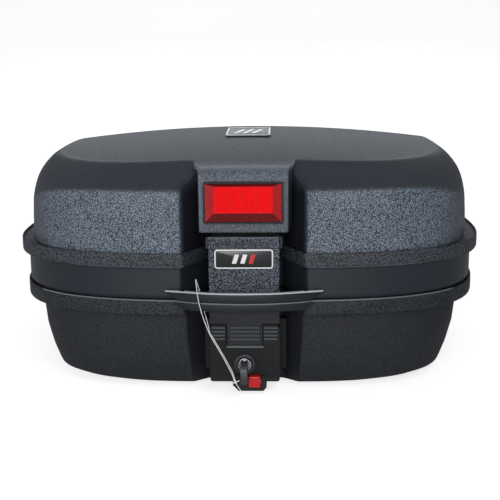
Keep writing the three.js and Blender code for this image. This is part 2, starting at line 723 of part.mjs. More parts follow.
function hinge(side) {
  const { y, z, knuckle, half } = HINGE;
  const centre = side * HINGE.x;
  const bore = rodX(y, z, HINGE.pin + 0.3, around(centre, 60), 16);

  let baseLeaf = block(around(centre, half), [208.6, 211.2], [87.5, 109]);
  for (const [x0, x1] of [[-half, -15], [15, half]]) {
    const xs = [centre + x0, centre + x1];
    baseLeaf = baseLeaf
      .add(block(xs, [210, y], [104.5, 109.5]))
      .add(rodX(y, z, knuckle, xs, 20))
      .add(block(xs, [y - knuckle, y], [107, z]));
  }

  const lidKnuckleX = around(centre, 14.5);
  const lidLeaf = block(around(centre, half), [203.6, 206.2], [114.5, 142])
    .add(block(lidKnuckleX, [205, y], [114.5, z + knuckle]))
    .add(rodX(y, z, knuckle, lidKnuckleX, 20));

  return {
    baseLeaf: cut(baseLeaf, bore, ...baseHingeDrills(side)),
    lidLeaf: cut(lidLeaf, bore, ...lidHingeDrills(side)),
    pin: rodX(y, z, HINGE.pin, around(centre, half + 1.5), 16),
  };
}
const leftHinge = hinge(-1);
const rightHinge = hinge(1);

// ---------------------------------------------------------------- fasteners
// A pan-head screw along Y with its head at the back.
const panScrew = (x, z, tipY, seatY) =>
  rodY(x, z, 1.9, [tipY, seatY], 12).add(rodY(x, z, 4, [seatY - 0.1, seatY + 2.2], 16));

// The handle screws pass from the inside of the rim into the handle's pads.
function handleScrew(side) {
  const x = side * HANDLE_SCREW.x;
  const shank = rodY(x, HANDLE_SCREW.z, 1.4, [-213.5, -204.6], 12);
  return shank.add(rodY(x, HANDLE_SCREW.z, 2.4, [-204.7, -202.6], 16));
}
function handleDrills(side) {
  const x = side * HANDLE_SCREW.x;
  return [
    rodY(x, HANDLE_SCREW.z, 1.7, [-220, -202], 14),
    rodY(x, HANDLE_SCREW.z, 2.8, [-205, -198], 16),
  ];
}

function bracketScrew(side) {
  const x = side * BRACKET_SCREW.x;
  const shank = rodY(x, BRACKET_SCREW.z, 1.7, [-153, -141], 12);
  return shank.add(rodY(x, BRACKET_SCREW.z, 3.2, [-154.6, -152.5], 16));
}

const baseScrews = LOCK_SCREWS.map(([x, z], i) => [
  `lock_screw_${i + 1}`,
  panScrew(x, z, -176, -154.1),
]);
const lidScrews = [];
for (const [side, word] of [[-1, "left"], [1, "right"]]) {
  hingeScrewXs(side).forEach((x, i) => {
    const tag = `${word}_${"ab"[i]}`;
    baseScrews.push([`hinge_screw_base_${tag}`, panScrew(x, HINGE_SCREW.baseZ, 201, 211.5)]);
    lidScrews.push([`hinge_screw_lid_${tag}`, panScrew(x, HINGE_SCREW.lidZ, 197, 206.5)]);
  });
  baseScrews.push([`handle_screw_${word}`, handleScrew(side)]);
}
lidScrews.push(["bracket_screw_left", bracketScrew(-1)], ["bracket_screw_right", bracketScrew(1)]);

const lidRing = cut(makeLidRing(), ...[-1, 1].flatMap(lidHingeDrills));
const baseDrills = [
  ...lockDrills,
  ...[-1, 1].flatMap((side) => [...baseHingeDrills(side), ...handleDrills(side)]),
];

// ---------------------------------------------------------------- reflector on the pillar
const reflectorTray = roundedBlock([-44, 44], [-203.4, -199.8], [193.4, 239.6], 1.2, 1).subtract(
  block([-42.2, 42.2], [-206, -201.4], [195.2, 237.8]),
);
const LENS_SECTIONS = [
  // y, half width, low z, top z
  [-201.7, 41.8, 195.6, 237.4],
  [-203.6, 41.8, 195.6, 237.4],
  [-206, 32.4, 205.6, 234.8],
];
const reflectorLens = loft(
  LENS_SECTIONS.map(([y, half, low, top]) => [
    vec(-half, y, low),
    vec(half, y, low),
    vec(half, y, top),
    vec(-half, y, top),
  ]),
);

// ---------------------------------------------------------------- underside
// The tub with its screw holes, and the seat for the mounting plate.
const tub = cut(makeTub(), ...baseDrills).add(block([-88, 83], [-60, 72], [-GROUND, 0.4]));

const plateHook = (x) =>
  block(around(x, 13), [74, 104], [-1.7, -0.3]).add(
    block(around(x, 13), [99, 104], [-GROUND, -1.6]),
  );

const FEET = [[-150, -95], [150, -95], [-150, 130], [150, 130]]; // x, y
const feet = FEET.map(([x, y]) => rodZ(x, y, 11, [-GROUND, -0.3], 20));

// ---------------------------------------------------------------- key tag cord
// Looped over the handle and hanging down to the key.
const CORD_POINTS = [
  // x, y, z
  [-52.5, -219.5, 123], [-52, -220.5, 134.5], [-50.5, -224, 135.5], [-49.8, -226.2, 122],
  [-48, -227.2, 108], [-43.5, -228, 92], [-35, -229.4, 71], [-24, -231.6, 52],
  [-14.5, -236, 35], [-9.6, -240.6, 24], [-6, -241.6, 17.2], [-1.5, -242.2, 12.4],
];
const cordPath = new THREE.CatmullRomCurve3(
  CORD_POINTS.map((point) => vec(...point)), false, "centripetal",
);
const cord = sweep(0.6, cordPath, 40);

// ---------------------------------------------------------------- materials
const standard = (settings) => new THREE.MeshStandardMaterial(settings);
const materials = {
  grain: standard({ color: 0x24272b, roughness: 0.62 }),
  band: standard({ color: 0x1b1d20, roughness: 0.45 }),
  gloss: standard({ color: 0x15171a, roughness: 0.32 }),
  rubber: standard({ color: 0x0f0f10, roughness: 0.85 }),
  steel: standard({ color: 0xa9adb2, roughness: 0.35, metalness: 1 }),
  zinc: standard({ color: 0xb9bcc0, roughness: 0.28, metalness: 1 }),
  red: standard({ color: 0xc4121a, roughness: 0.35 }),
  lens: standard({ color: 0xd1060f, roughness: 0.12 }),
  badge: standard({ color: 0x0b0c0e, roughness: 0.3 }),
  cord: standard({ color: 0xe8e8e8, roughness: 0.5 }),
};

// ---------------------------------------------------------------- assembly
const inSteel = ([name, body]) => [name, body, "steel"];
// One group for each set of pieces that moves together: mesh name, solid, material.
const assembly = {
  base: [
    ["base_shell", tub, "grain"],
    ["rim_seal", makeRimSeal(), "rubber"],
    ["carry_handle", makeHandle(), "gloss"],
    ["lock_housing", makeHousing(), "gloss"],
    ["lock_backplate", backplate, "steel"],
    ["lock_bezel", bezel, "gloss"],
    ["lock_barrel", barrel, "zinc"],
    ["lock_nut", lockNut, "zinc"],
    ["plate_hook_left", plateHook(-52), "steel"],
    ["plate_hook_right", plateHook(52), "steel"],
    ...feet.map((foot, i) => [`foot_pad_${i + 1}`, foot, "rubber"]),
    ["hinge_base_leaf_left", leftHinge.baseLeaf, "gloss"],
    ["hinge_base_leaf_right", rightHinge.baseLeaf, "gloss"],
    ["hinge_pin_left", leftHinge.pin, "steel"],
    ["hinge_pin_right", rightHinge.pin, "steel"],
    ["button_spring", buttonSpring, "steel"],
    ["key_tag_cord", cord, "cord"],
    ...baseScrews.map(inSteel),
  ],
  lid: [
    ["lid_shell", dome, "grain"],
    ["lid_ring", lidRing, "band"],
    ["hinge_lid_leaf_left", leftHinge.lidLeaf, "gloss"],
    ["hinge_lid_leaf_right", rightHinge.lidLeaf, "gloss"],
    ["reflector_tray", reflectorTray, "gloss"],
    ["reflector_lens", reflectorLens, "lens"],
    ["lid_badge", makeLidBadge(), "badge"],
    ["flap_bracket", makeBracket(), "gloss"],
    ["flap_pin", flapPin, "steel"],
    ["flap_spring", flapSpring, "steel"],
    ...lidScrews.map(inSteel),
  ],
  flap: [
    ["latch_flap", makeFlap(), "grain"],
    ["flap_badge", flapBadge, "badge"],
    ["striker", striker, "steel"],
  ],
  plug: [
    ["lock_plug", plug, "zinc"],
    ["lock_cam", makeCam(), "steel"],
  ],
  key: [
    ["key_blade", keyBlade, "zinc"],
    ["key_bow", makeKeyBow(), "rubber"],
  ],
  bolt: [["lock_bolt", makeBolt(), "steel"]],
  release: [
    ["release_button", button, "red"],
    ["release_catch", releaseCatch, "steel"],
  ],
};

const root = new THREE.Group();
root.position.z = GROUND;
for (const pieces of Object.values(assembly)) {
  const group = new THREE.Group();
  for (const [name, body, material] of pieces) {
    const mesh = new THREE.Mesh(geometryOf(body), materials[material]);
    mesh.name = name;
    group.add(mesh);
  }
  root.add(group);
}

export default root;
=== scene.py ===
import math

import bpy
import bmesh
import numpy as np
from mathutils import Matrix, Vector


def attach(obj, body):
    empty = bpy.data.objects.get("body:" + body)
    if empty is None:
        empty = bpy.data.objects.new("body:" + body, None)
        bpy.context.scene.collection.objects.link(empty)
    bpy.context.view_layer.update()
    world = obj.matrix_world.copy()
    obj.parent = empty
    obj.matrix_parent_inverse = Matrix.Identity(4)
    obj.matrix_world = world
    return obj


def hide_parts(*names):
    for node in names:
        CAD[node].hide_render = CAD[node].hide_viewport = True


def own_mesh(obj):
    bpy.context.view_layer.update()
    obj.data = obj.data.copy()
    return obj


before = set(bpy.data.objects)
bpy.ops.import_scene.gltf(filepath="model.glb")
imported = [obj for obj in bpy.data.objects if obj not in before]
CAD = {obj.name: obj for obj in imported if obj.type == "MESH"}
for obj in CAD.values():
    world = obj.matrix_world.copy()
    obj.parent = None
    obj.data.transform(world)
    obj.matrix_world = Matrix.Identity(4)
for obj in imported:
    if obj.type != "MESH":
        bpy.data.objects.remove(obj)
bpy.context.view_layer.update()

G = 3.3  # the frame's ground is this far under the tub's floor (mm)
YC, NX, NY, NB = 60.0, 3.05, 3.85, 6.0


def M(p):
    """Millimetres in the drawing's frame to metres in the row frame."""
    p = np.asarray(p, float).copy()
    p[..., 2] += G
    return p / 1000.0


# =====================================================================  materials
def new_mat(name):
    m = bpy.data.materials.new(name)
    m.use_nodes = True
    nt = m.node_tree
    nt.nodes.clear()
    out = nt.nodes.new("ShaderNodeOutputMaterial")
    bsdf = nt.nodes.new("ShaderNodeBsdfPrincipled")
    nt.links.new(bsdf.outputs[0], out.inputs[0])
    return m, nt, bsdf


def coords(nt, scale=(1, 1, 1)):
    tc = nt.nodes.new("ShaderNodeTexCoord")
    mp = nt.nodes.new("ShaderNodeMapping")
    mp.inputs["Scale"].default_value = scale
    nt.links.new(tc.outputs["Object"], mp.inputs[0])
    return mp.outputs[0]


def noise(nt, vec, scale, detail=2.0, rough=0.5):
    n = nt.nodes.new("ShaderNodeTexNoise")
    n.inputs["Scale"].default_value = scale
    n.inputs["Detail"].default_value = detail
    n.inputs["Roughness"].default_value = rough
    nt.links.new(vec, n.inputs["Vector"])
    return n.outputs[0]


def ramp(nt, fac, a, b, ca, cb):
    r = nt.nodes.new("ShaderNodeValToRGB")
    r.color_ramp.elements[0].position = a
    r.color_ramp.elements[1].position = b
    r.color_ramp.elements[0].color = (*ca, 1) if len(ca) == 3 else ca
    r.color_ramp.elements[1].color = (*cb, 1) if len(cb) == 3 else cb
    nt.links.new(fac, r.inputs[0])
    return r.outputs[0]


def maprange(nt, fac, a, b, c, d):
    r = nt.nodes.new("ShaderNodeMapRange")
    for k, v in zip(("From Min", "From Max", "To Min", "To Max"), (a, b, c, d)):
        r.inputs[k].default_value = v
    nt.links.new(fac, r.inputs["Value"])
    return r.outputs[0]


def bump(nt, bsdf, height, strength, dist, before=None):
    b = nt.nodes.new("ShaderNodeBump")
    b.inputs["Strength"].default_value = strength
    b.inputs["Distance"].default_value = dist
    nt.links.new(height, b.inputs["Height"])
    if before is not None:
        nt.links.new(before, b.inputs["Normal"])
    nt.links.new(b.outputs[0], bsdf.inputs["Normal"])
    return b.outputs[0]


def plastic(name, col, rough, spec=0.5, grain=None, wear=0.06, coat=0.0):
    """Moulded plastic. grain = (cell in mm, depth in mm, strength[, hollow factor, top factor]) gives a pebbled skin;
    the two factors paint shade into the hollows between the pebbles and a highlight onto their tops.
    """
    m, nt, bsdf = new_mat(name)
    vec = coords(nt)
    big = noise(nt, vec, 9.0, 4.0, 0.55)
    dark = tuple(c * (1 - wear) for c in col)
    lite = tuple(c * (1 + wear) for c in col)
    base = ramp(nt, big, 0.3, 0.7, dark, lite)
    bsdf.inputs["Specular IOR Level"].default_value = spec
    bsdf.inputs["Coat Weight"].default_value = coat
    if grain:
        cell, depth, strength, valley_shade, crest_highlight = (*grain, 0.55, 1.15)[:5] if len(grain) == 3 else grain
        v = nt.nodes.new("ShaderNodeTexVoronoi")
        v.feature = "SMOOTH_F1"
        v.inputs["Scale"].default_value = 1000.0 / cell
        v.inputs["Smoothness"].default_value = 0.55
        v.inputs["Randomness"].default_value = 1.0
        nt.links.new(vec, v.inputs["Vector"])
        inv = maprange(nt, v.outputs["Distance"], 0.0, 0.75, 1.0, 0.0)
        fine = noise(nt, vec, 1000.0 / (cell * 0.55), 1.0)
        add = nt.nodes.new("ShaderNodeMath")
        add.operation = "MULTIPLY_ADD"
        nt.links.new(fine, add.inputs[0])
        add.inputs[1].default_value = 0.35
        nt.links.new(inv, add.inputs[2])
        bump(nt, bsdf, add.outputs[0], strength, depth / 1000.0)
        # the valleys between pebbles are a little duller, and painted darker as shade; the pebble tops are painted
        # lighter as a highlight
        mix = nt.nodes.new("ShaderNodeMix")
        mix.data_type = "RGBA"
        mix.blend_type = "MULTIPLY"
        mix.inputs["Factor"].default_value = 1.0
        nt.links.new(base, mix.inputs["A"])
        shade = ramp(nt, inv, 0.15, 0.8, (valley_shade, valley_shade, valley_shade * 1.04), (crest_highlight, crest_highlight, crest_highlight))
        nt.links.new(shade, mix.inputs["B"])
        base = mix.outputs["Result"]
        r = maprange(nt, inv, 0.1, 0.9, min(rough + 0.18, 1.0), rough)
        nt.links.new(r, bsdf.inputs["Roughness"])
    else:
        small = noise(nt, vec, 260.0, 3.0, 0.6)
        r = maprange(nt, small, 0.3, 0.7, rough - 0.04, rough + 0.05)
        nt.links.new(r, bsdf.inputs["Roughness"])
        bump(nt, bsdf, noise(nt, vec, 900.0, 2.0, 0.5), 0.10, 0.00006)
    nt.links.new(base, bsdf.inputs["Base Color"])
    return m


def metal(name, col, rough, brushed=None):
    m, nt, bsdf = new_mat(name)
    vec = coords(nt, brushed or (1, 1, 1))
    n = noise(nt, vec, 420.0, 3.0, 0.6)
    nt.links.new(ramp(nt, n, 0.3, 0.7, tuple(c * 0.88 for c in col), col), bsdf.inputs["Base Color"])
    nt.links.new(maprange(nt, n, 0.3, 0.7, rough - 0.05, rough + 0.08), bsdf.inputs["Roughness"])
    bsdf.inputs["Metallic"].default_value = 1.0
    bump(nt, bsdf, n, 0.08, 0.00005)
    return m


def zoned(name, face, top, groove, rough, spec, cell, depth, by_z=None, ridge_highlight=None, contrast=0.95, ends=(0.48, 0.78, 0.15, 2.3)):
    """Shell skin in three moulded zones, mixed by the attributes 'face' and 'groove' of the mesh, or by height when
    by_z is given:
    coarse pebbles on the upright faces, fine matt skin on the top, smooth skin in the grooves. The upright faces are
    coloured lighter than the top as painted frontal light, and the grooves dark as painted shade."""
    m, nt, bsdf = new_mat(name)
    vec = coords(nt)

    def attr(k):
        a = nt.nodes.new("ShaderNodeAttribute")
        a.attribute_name = k
        return a.outputs["Fac"]

    def mix(fac, a, b, kind="MIX"):
        x = nt.nodes.new("ShaderNodeMix")
        x.data_type = "RGBA"
        x.blend_type = kind
        if isinstance(fac, float):
            x.inputs["Factor"].default_value = fac
        else:
            nt.links.new(fac, x.inputs["Factor"])
        for sock, v in (("A", a), ("B", b)):
            if isinstance(v, tuple):
                x.inputs[sock].default_value = (*v, 1)
            else:
                nt.links.new(v, x.inputs[sock])
        return x.outputs["Result"]

    def math_node(op, a, b):
        x = nt.nodes.new("ShaderNodeMath")
        x.operation = op
        for i, v in enumerate((a, b)):
            if isinstance(v, (int, float)):
                x.inputs[i].default_value = v
            else:
                nt.links.new(v, x.inputs[i])
        return x.outputs[0]

    sep = nt.nodes.new("ShaderNodeSeparateXYZ")
    nt.links.new(vec, sep.inputs[0])
    if by_z:
        fa = maprange(nt, sep.outputs["Z"], by_z[0], by_z[1], by_z[2], 1.0)
        gr = math_node("MULTIPLY", 0.0, 0.0)
    else:
        fa, gr = attr("face"), attr("groove")
    v = nt.nodes.new("ShaderNodeTexVoronoi")
    v.feature = "SMOOTH_F1"
    v.inputs["Scale"].default_value = 1000.0 / cell
    v.inputs["Smoothness"].default_value = 0.45
    nt.links.new(vec, v.inputs["Vector"])
    pebble = maprange(nt, v.outputs["Distance"], 0.05, 0.75, 1.0, 0.0)
    fleck = noise(nt, vec, 1000.0 / (cell * 0.9), 2.0, 0.6)
    height = math_node("MULTIPLY_ADD", fleck, 0.5)
    nt.links.new(pebble, height.node.inputs[2])
    amount = math_node("MULTIPLY_ADD", fa, 0.75)
    amount.node.inputs[2].default_value = 0.25
    amount = math_node("MULTIPLY", amount, math_node("SUBTRACT", 1.0, math_node("MULTIPLY", gr, 0.8)))
    b = nt.nodes.new("ShaderNodeBump")
    b.inputs["Distance"].default_value = depth / 1000.0
    nt.links.new(amount, b.inputs["Strength"])
    nt.links.new(height, b.inputs["Height"])
    nt.links.new(b.outputs[0], bsdf.inputs["Normal"])
    base = mix(fa, top, face)
    # painted light: the pebble tops are painted lighter as a highlight and the valleys darker as shade
    pebble_light_and_shade = ramp(nt, math_node("ADD", math_node("MULTIPLY", pebble, 0.55), math_node("MULTIPLY", fleck, 0.75)), ends[0], ends[1], (ends[2], ends[2] * 1.02, ends[2] * 1.08), (ends[3], ends[3], ends[3]))
    base = mix(math_node("MULTIPLY", amount, contrast), base, mix(1.0, base, pebble_light_and_shade, "MULTIPLY"))
    cloud = ramp(nt, noise(nt, vec, 7.0, 3.0, 0.55), 0.3, 0.7, (0.90, 0.90, 0.90), (1.08, 1.08, 1.08))
    base = mix(1.0, base, cloud, "MULTIPLY")
    # painted shade: the grooves and the recess under the pillar take the dark groove colour
    base = mix(gr, base, groove)
    # painted highlight: the colour is lifted towards light grey where the 'edge' attribute is set
    if not by_z:
        base = mix(attr("edge"), base, (0.30, 0.34, 0.40))
    # painted highlights: ridge tops in front of the given y take the ridge colour, and a strip along the flap's top
    # edge is lightened
    if ridge_highlight:
        on = maprange(nt, sep.outputs["Y"], ridge_highlight[0], ridge_highlight[0] - 0.0003, 0.0, 1.0)
        base = mix(on, base, ridge_highlight[1])
        base = mix(maprange(nt, sep.outputs["Z"], 0.1804, 0.1808, 0.0, 1.0), base, (0.17, 0.19, 0.22))
    nt.links.new(base, bsdf.inputs["Base Color"])
    nt.links.new(maprange(nt, pebble, 0.1, 0.9, rough + 0.14, rough - 0.02), bsdf.inputs["Roughness"])
    nt.links.new(maprange(nt, gr, 0.0, 1.0, spec, 0.12), bsdf.inputs["Specular IOR Level"])
    return m


def housing(name):
    """Smooth black plastic with painted highlights: its grip ridges and the latch edge are coloured lighter."""
    m, nt, bsdf = new_mat(name)
    vec = coords(nt)
    sep = nt.nodes.new("ShaderNodeSeparateXYZ")
    nt.links.new(vec, sep.inputs[0])

    def mul(a, b):
        x = nt.nodes.new("ShaderNodeMath")
        x.operation = "MULTIPLY"
        nt.links.new(a, x.inputs[0])
        nt.links.new(b, x.inputs[1])
        return x.outputs[0]

    def mixc(fac, a, b):
        x = nt.nodes.new("ShaderNodeMix")
        x.data_type = "RGBA"
        nt.links.new(fac, x.inputs["Factor"])
        nt.links.new(a, x.inputs["A"])
        x.inputs["B"].default_value = (*b, 1)
        return x.outputs["Result"]

    z, y, x = sep.outputs["Z"], sep.outputs["Y"], sep.outputs["X"]
    base = ramp(nt, noise(nt, vec, 9.0, 4.0, 0.55), 0.3, 0.7, (0.0070, 0.0082, 0.0092), (0.0085, 0.0100, 0.0110))
    # painted highlight on the ridge tops
    ridge_highlight = mul(maprange(nt, y, -0.20478, -0.20500, 0.0, 1.0), maprange(nt, z, 0.0605, 0.0615, 0.0, 1.0))
    base = mixc(ridge_highlight, base, (0.070, 0.078, 0.092))
    # painted highlight: a light strip along the edge of the recess under the latch tongue
    step = mul(maprange(nt, z, 0.0552, 0.0555, 0.0, 1.0), maprange(nt, z, 0.0564, 0.0561, 0.0, 1.0))
    ax = nt.nodes.new("ShaderNodeMath")
    ax.operation = "ABSOLUTE"
    nt.links.new(x, ax.inputs[0])
    step = mul(step, maprange(nt, ax.outputs[0], 0.0212, 0.0205, 0.0, 1.0))
    step = mul(step, maprange(nt, y, -0.2050, -0.2052, 1.0, 0.0))
    base = mixc(step, base, (0.42, 0.44, 0.46))
    warm = maprange(nt, z, 0.022, 0.012, 0.0, 0.55)
    base = mixc(warm, base, (0.034, 0.030, 0.027))
    nt.links.new(base, bsdf.inputs["Base Color"])
    nt.links.new(maprange(nt, noise(nt, vec, 260.0, 3.0, 0.6), 0.3, 0.7, 0.42, 0.52), bsdf.inputs["Roughness"])
    bsdf.inputs["Specular IOR Level"].default_value = 0.24
    bump(nt, bsdf, noise(nt, vec, 900.0, 2.0, 0.5), 0.10, 0.00006)
    return m


MAT = {
    # shell: the face colour is lighter than the top colour as painted frontal light; the groove colour is painted shade
    "lobe": zoned("shell_grain", (0.118, 0.145, 0.185), (0.044, 0.051, 0.066), (0.014, 0.015, 0.022), 0.42, 0.5, 1.35, 0.42),
    "base": plastic("tub_grain", (0.021, 0.025, 0.033), 0.52, 0.38, (1.7, 0.24, 0.7)),
    "rim": plastic("rim_grain", (0.024, 0.029, 0.039), 0.46, 0.40, (2.0, 0.46, 1.0, 0.30, 1.45)),
    "lip": plastic("lip_grain", (0.052, 0.061, 0.080), 0.44, 0.5, (1.6, 0.46, 1.0, 0.10, 1.75)),
    # flap: the second colour, taken below the handle by height (by_z), is a painted shadow of the handle; the ridge
    # colour is a painted highlight on the ridge tops
    "flap": zoned("flap_grain", (0.066, 0.077, 0.099), (0.010, 0.012, 0.015), (0.01, 0.01, 0.01), 0.46, 0.34, 1.4, 0.55, (0.104, 0.116, 0.06), (-0.20328, (0.050, 0.056, 0.070)), 1.0, (0.48, 0.76, 0.12, 2.5)),
    "band": plastic("band_smooth", (0.017, 0.021, 0.029), 0.42, 0.34),
    "fit": plastic("fittings_black", (0.013, 0.015, 0.018), 0.42, 0.40),
    "house": housing("housing_black"),
    # painted highlights: light strips laid on rounded edges where they catch the light
    "edge": plastic("painted_edge_highlight", (0.52, 0.55, 0.60), 0.34, 0.5),
    "edge2": plastic("painted_edge_highlight_soft", (0.15, 0.165, 0.19), 0.36, 0.5),
    # painted shade: the reflector's side bevels are coloured darker than its face; the top and bottom bevels darker
    # still (lensdark)
    "lensside": plastic("lens_side_painted_shade", (0.40, 0.006, 0.010), 0.22, 0.3, None, 0.05, 0.0),
    "gloss2": plastic("handle_black", (0.009, 0.0125, 0.017), 0.40, 0.34),
    "gloss": plastic("badge_gloss", (0.006, 0.007, 0.011), 0.18, 0.5, None, 0.02, 0.4),
    "badgegrey": plastic("badge_grey", (0.10, 0.105, 0.115), 0.30, 0.5),
    "rubber": plastic("rubber_black", (0.014, 0.014, 0.014), 0.82, 0.3),
    "grip": plastic("key_grip", (0.046, 0.052, 0.062), 0.42, 0.5),
    "fitting": plastic("fittings_satin", (0.013, 0.015, 0.018), 0.42, 0.40),
    # painted highlight: the lock ring is coloured lighter than the other black fittings, standing for the light on its
    # top edge
    "bow": plastic("lock_ring_painted_highlight", (0.030, 0.033, 0.037), 0.34, 0.5),
    "red": plastic("button_red", (0.62, 0.010, 0.016), 0.32, 0.5),
    "white": plastic("mark_white", (0.80, 0.80, 0.80), 0.40, 0.5),
    "markred": plastic("mark_red", (0.55, 0.01, 0.015), 0.40, 0.5),
    "cord": plastic("nylon_white", (0.85, 0.85, 0.85), 0.45, 0.5),
    "silver": metal("silver_foil", (0.90, 0.91, 0.92), 0.30),
    "zinc": metal("zinc_plated", (0.72, 0.73, 0.75), 0.24),
    "steel": metal("steel_plated", (0.50, 0.51, 0.53), 0.36, (1, 1, 12)),
}


def lens_material():
    m, nt, bsdf = new_mat("lens_red")
    vec = coords(nt)
    sep = nt.nodes.new("ShaderNodeSeparateXYZ")
    nt.links.new(vec, sep.inputs[0])

    def wave(out, pitch):
        k = nt.nodes.new("ShaderNodeMath")
        k.operation = "MULTIPLY"
        k.inputs[1].default_value = 2 * math.pi / (pitch / 1000.0)
        nt.links.new(out, k.inputs[0])
        s = nt.nodes.new("ShaderNodeMath")
        s.operation = "SINE"
        nt.links.new(k.outputs[0], s.inputs[0])
        return s.outputs[0]

    a = nt.nodes.new("ShaderNodeMath")
    a.operation = "MULTIPLY_ADD"
    nt.links.new(wave(sep.outputs["Z"], 3.1), a.inputs[0])
    a.inputs[1].default_value = 0.08
    nt.links.new(wave(sep.outputs["X"], 1.9), a.inputs[2])
    n = noise(nt, vec, 160.0, 2.0)
    col = ramp(nt, maprange(nt, a.outputs[0], -1.35, 1.35, 0.0, 1.0), 0.0, 1.0, (0.52, 0.0015, 0.003), (0.86, 0.004, 0.007))
    nt.links.new(col, bsdf.inputs["Base Color"])
    nt.links.new(maprange(nt, n, 0.3, 0.7, 0.20, 0.30), bsdf.inputs["Roughness"])
    bsdf.inputs["Specular IOR Level"].default_value = 0.08
    # painted glow: a weak red emission lets the lens shine of itself though it is no lamp
    bsdf.inputs["Emission Color"].default_value = (0.9, 0.002, 0.004, 1)
    bsdf.inputs["Emission Strength"].default_value = 0.20
    return m


MAT["lens"] = lens_material()
# painted shade: the reflector's top and bottom bevels and its back walls are coloured darker than its face
MAT["lensdark"] = plastic("lens_border_painted_shade", (0.135, 0.006, 0.008), 0.25, 0.25, None, 0.05, 0.0)


# =====================================================================  mesh helpers
def obj_from(name, verts, faces, mat, body, replaces=(), smooth=True, angle=None):
    me = bpy.data.meshes.new(name)
    me.from_pydata([tuple(v) for v in verts], [], [tuple(int(i) for i in f) for f in faces])
    me.validate()
    bm = bmesh.new()
    bm.from_mesh(me)
    bmesh.ops.remove_doubles(bm, verts=bm.verts, dist=2e-6)
    bmesh.ops.recalc_face_normals(bm, faces=bm.faces)
    bm.to_mesh(me)
    bm.free()
    return finish_obj(name, me, mat, body, replaces, smooth, angle)


def finish_obj(name, me, mat, body, replaces=(), smooth=True, angle=None):
    o = bpy.data.objects.new(name, me)
    bpy.context.scene.collection.objects.link(o)
    mats = mat if isinstance(mat, (list, tuple)) else [mat]
    for m in mats:
        me.materials.append(MAT[m] if isinstance(m, str) else m)
    if smooth:
        me.shade_smooth()
        if angle:
            me.set_sharp_from_angle(angle=math.radians(angle))
    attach(o, body)
    if replaces:
        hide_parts(*replaces)
    return o


def interp_closed(P, s, total, q):
    """Linear lookup on a closed polyline P with arc positions s, at positions q."""
    s2 = np.append(s, total)
    return np.stack([np.interp(q, s2, np.append(P[:, k], P[0, k])) for k in range(P.shape[1])], 1)


def smooth_closed(P, sigma, step=0.5):
    d = np.linalg.norm(np.roll(P, -1, 0) - P, axis=1)
    s = np.concatenate([[0], np.cumsum(d)[:-1]])
    total = d.sum()
    m = int(total / step)
    u = np.arange(m) * total / m
    Q = interp_closed(P, s, total, u)
    f = np.fft.rfftfreq(m, d=total / m)
    K = np.exp(-2 * (math.pi * sigma * f) ** 2)[:, None]
    Q = np.fft.irfft(np.fft.rfft(Q, axis=0) * K, n=m, axis=0)
    return interp_closed(Q, u, total, s)


def smooth_open(P, sigma, step=0.5):
    """Rounds the corners of an open polyline, ends held."""
    d = np.linalg.norm(np.diff(P, axis=0), axis=1)
    s = np.concatenate([[0], np.cumsum(d)])
    total = s[-1]
    if total < 1e-6:
        return P
    m = max(int(total / step), 8)
    u = np.linspace(0, total, m + 1)
    Q = np.stack([np.interp(u, s, P[:, k]) for k in range(3)], 1)
    # odd reflection about both ends keeps the ends in place
    pad = min(m, int(4 * sigma / (total / m)) + 1)
    A = 2 * Q[0] - Q[1 : pad + 1][::-1]
    B = 2 * Q[-1] - Q[-pad - 1 : -1][::-1]
    W = np.concatenate([A, Q, B])
    h = int(4 * sigma / (total / m)) + 1
    x = np.arange(-h, h + 1) * (total / m)
    k = np.exp(-0.5 * (x / sigma) ** 2)
    k /= k.sum()
    R = np.stack([np.convolve(W[:, c], k, mode="same") for c in range(3)], 1)[pad : pad + m + 1]
    return np.stack([np.interp(s, u, R[:, c]) for c in range(3)], 1)


def resample(P, t):
    """Points of polyline P at fractions t of its length."""
    d = np.linalg.norm(np.diff(P, axis=0), axis=1)
    s = np.concatenate([[0], np.cumsum(d)])
    return np.stack([np.interp(np.asarray(t) * s[-1], s, P[:, k]) for k in range(P.shape[1])], 1)


def ease(n, a=0.0, b=0.0):
    """n+1 fractions from 0 to 1; a and b > 0 gather points near the start and the end."""
    t = np.linspace(0, 1, n + 1)
    if a and b:
        return t + (a + b) / 2 * (0.5 - 0.5 * np.cos(math.pi * t) - t)
    if a:
        return (1 - a) * t + a * (1 - np.cos(t * math.pi / 2))
    if b:
        return (1 - b) * t + b * np.sin(t * math.pi / 2)
    return t


N_A, N_B, N_F, N_C, N_D, N_E = 12, 16, 6, 22, 84, 54


def front_y(x, hw, yf, nx=NX, ny=NY):
    return YC - (YC - yf) * np.maximum(0, 1 - (np.abs(x) / hw) ** nx) ** (1 / ny)


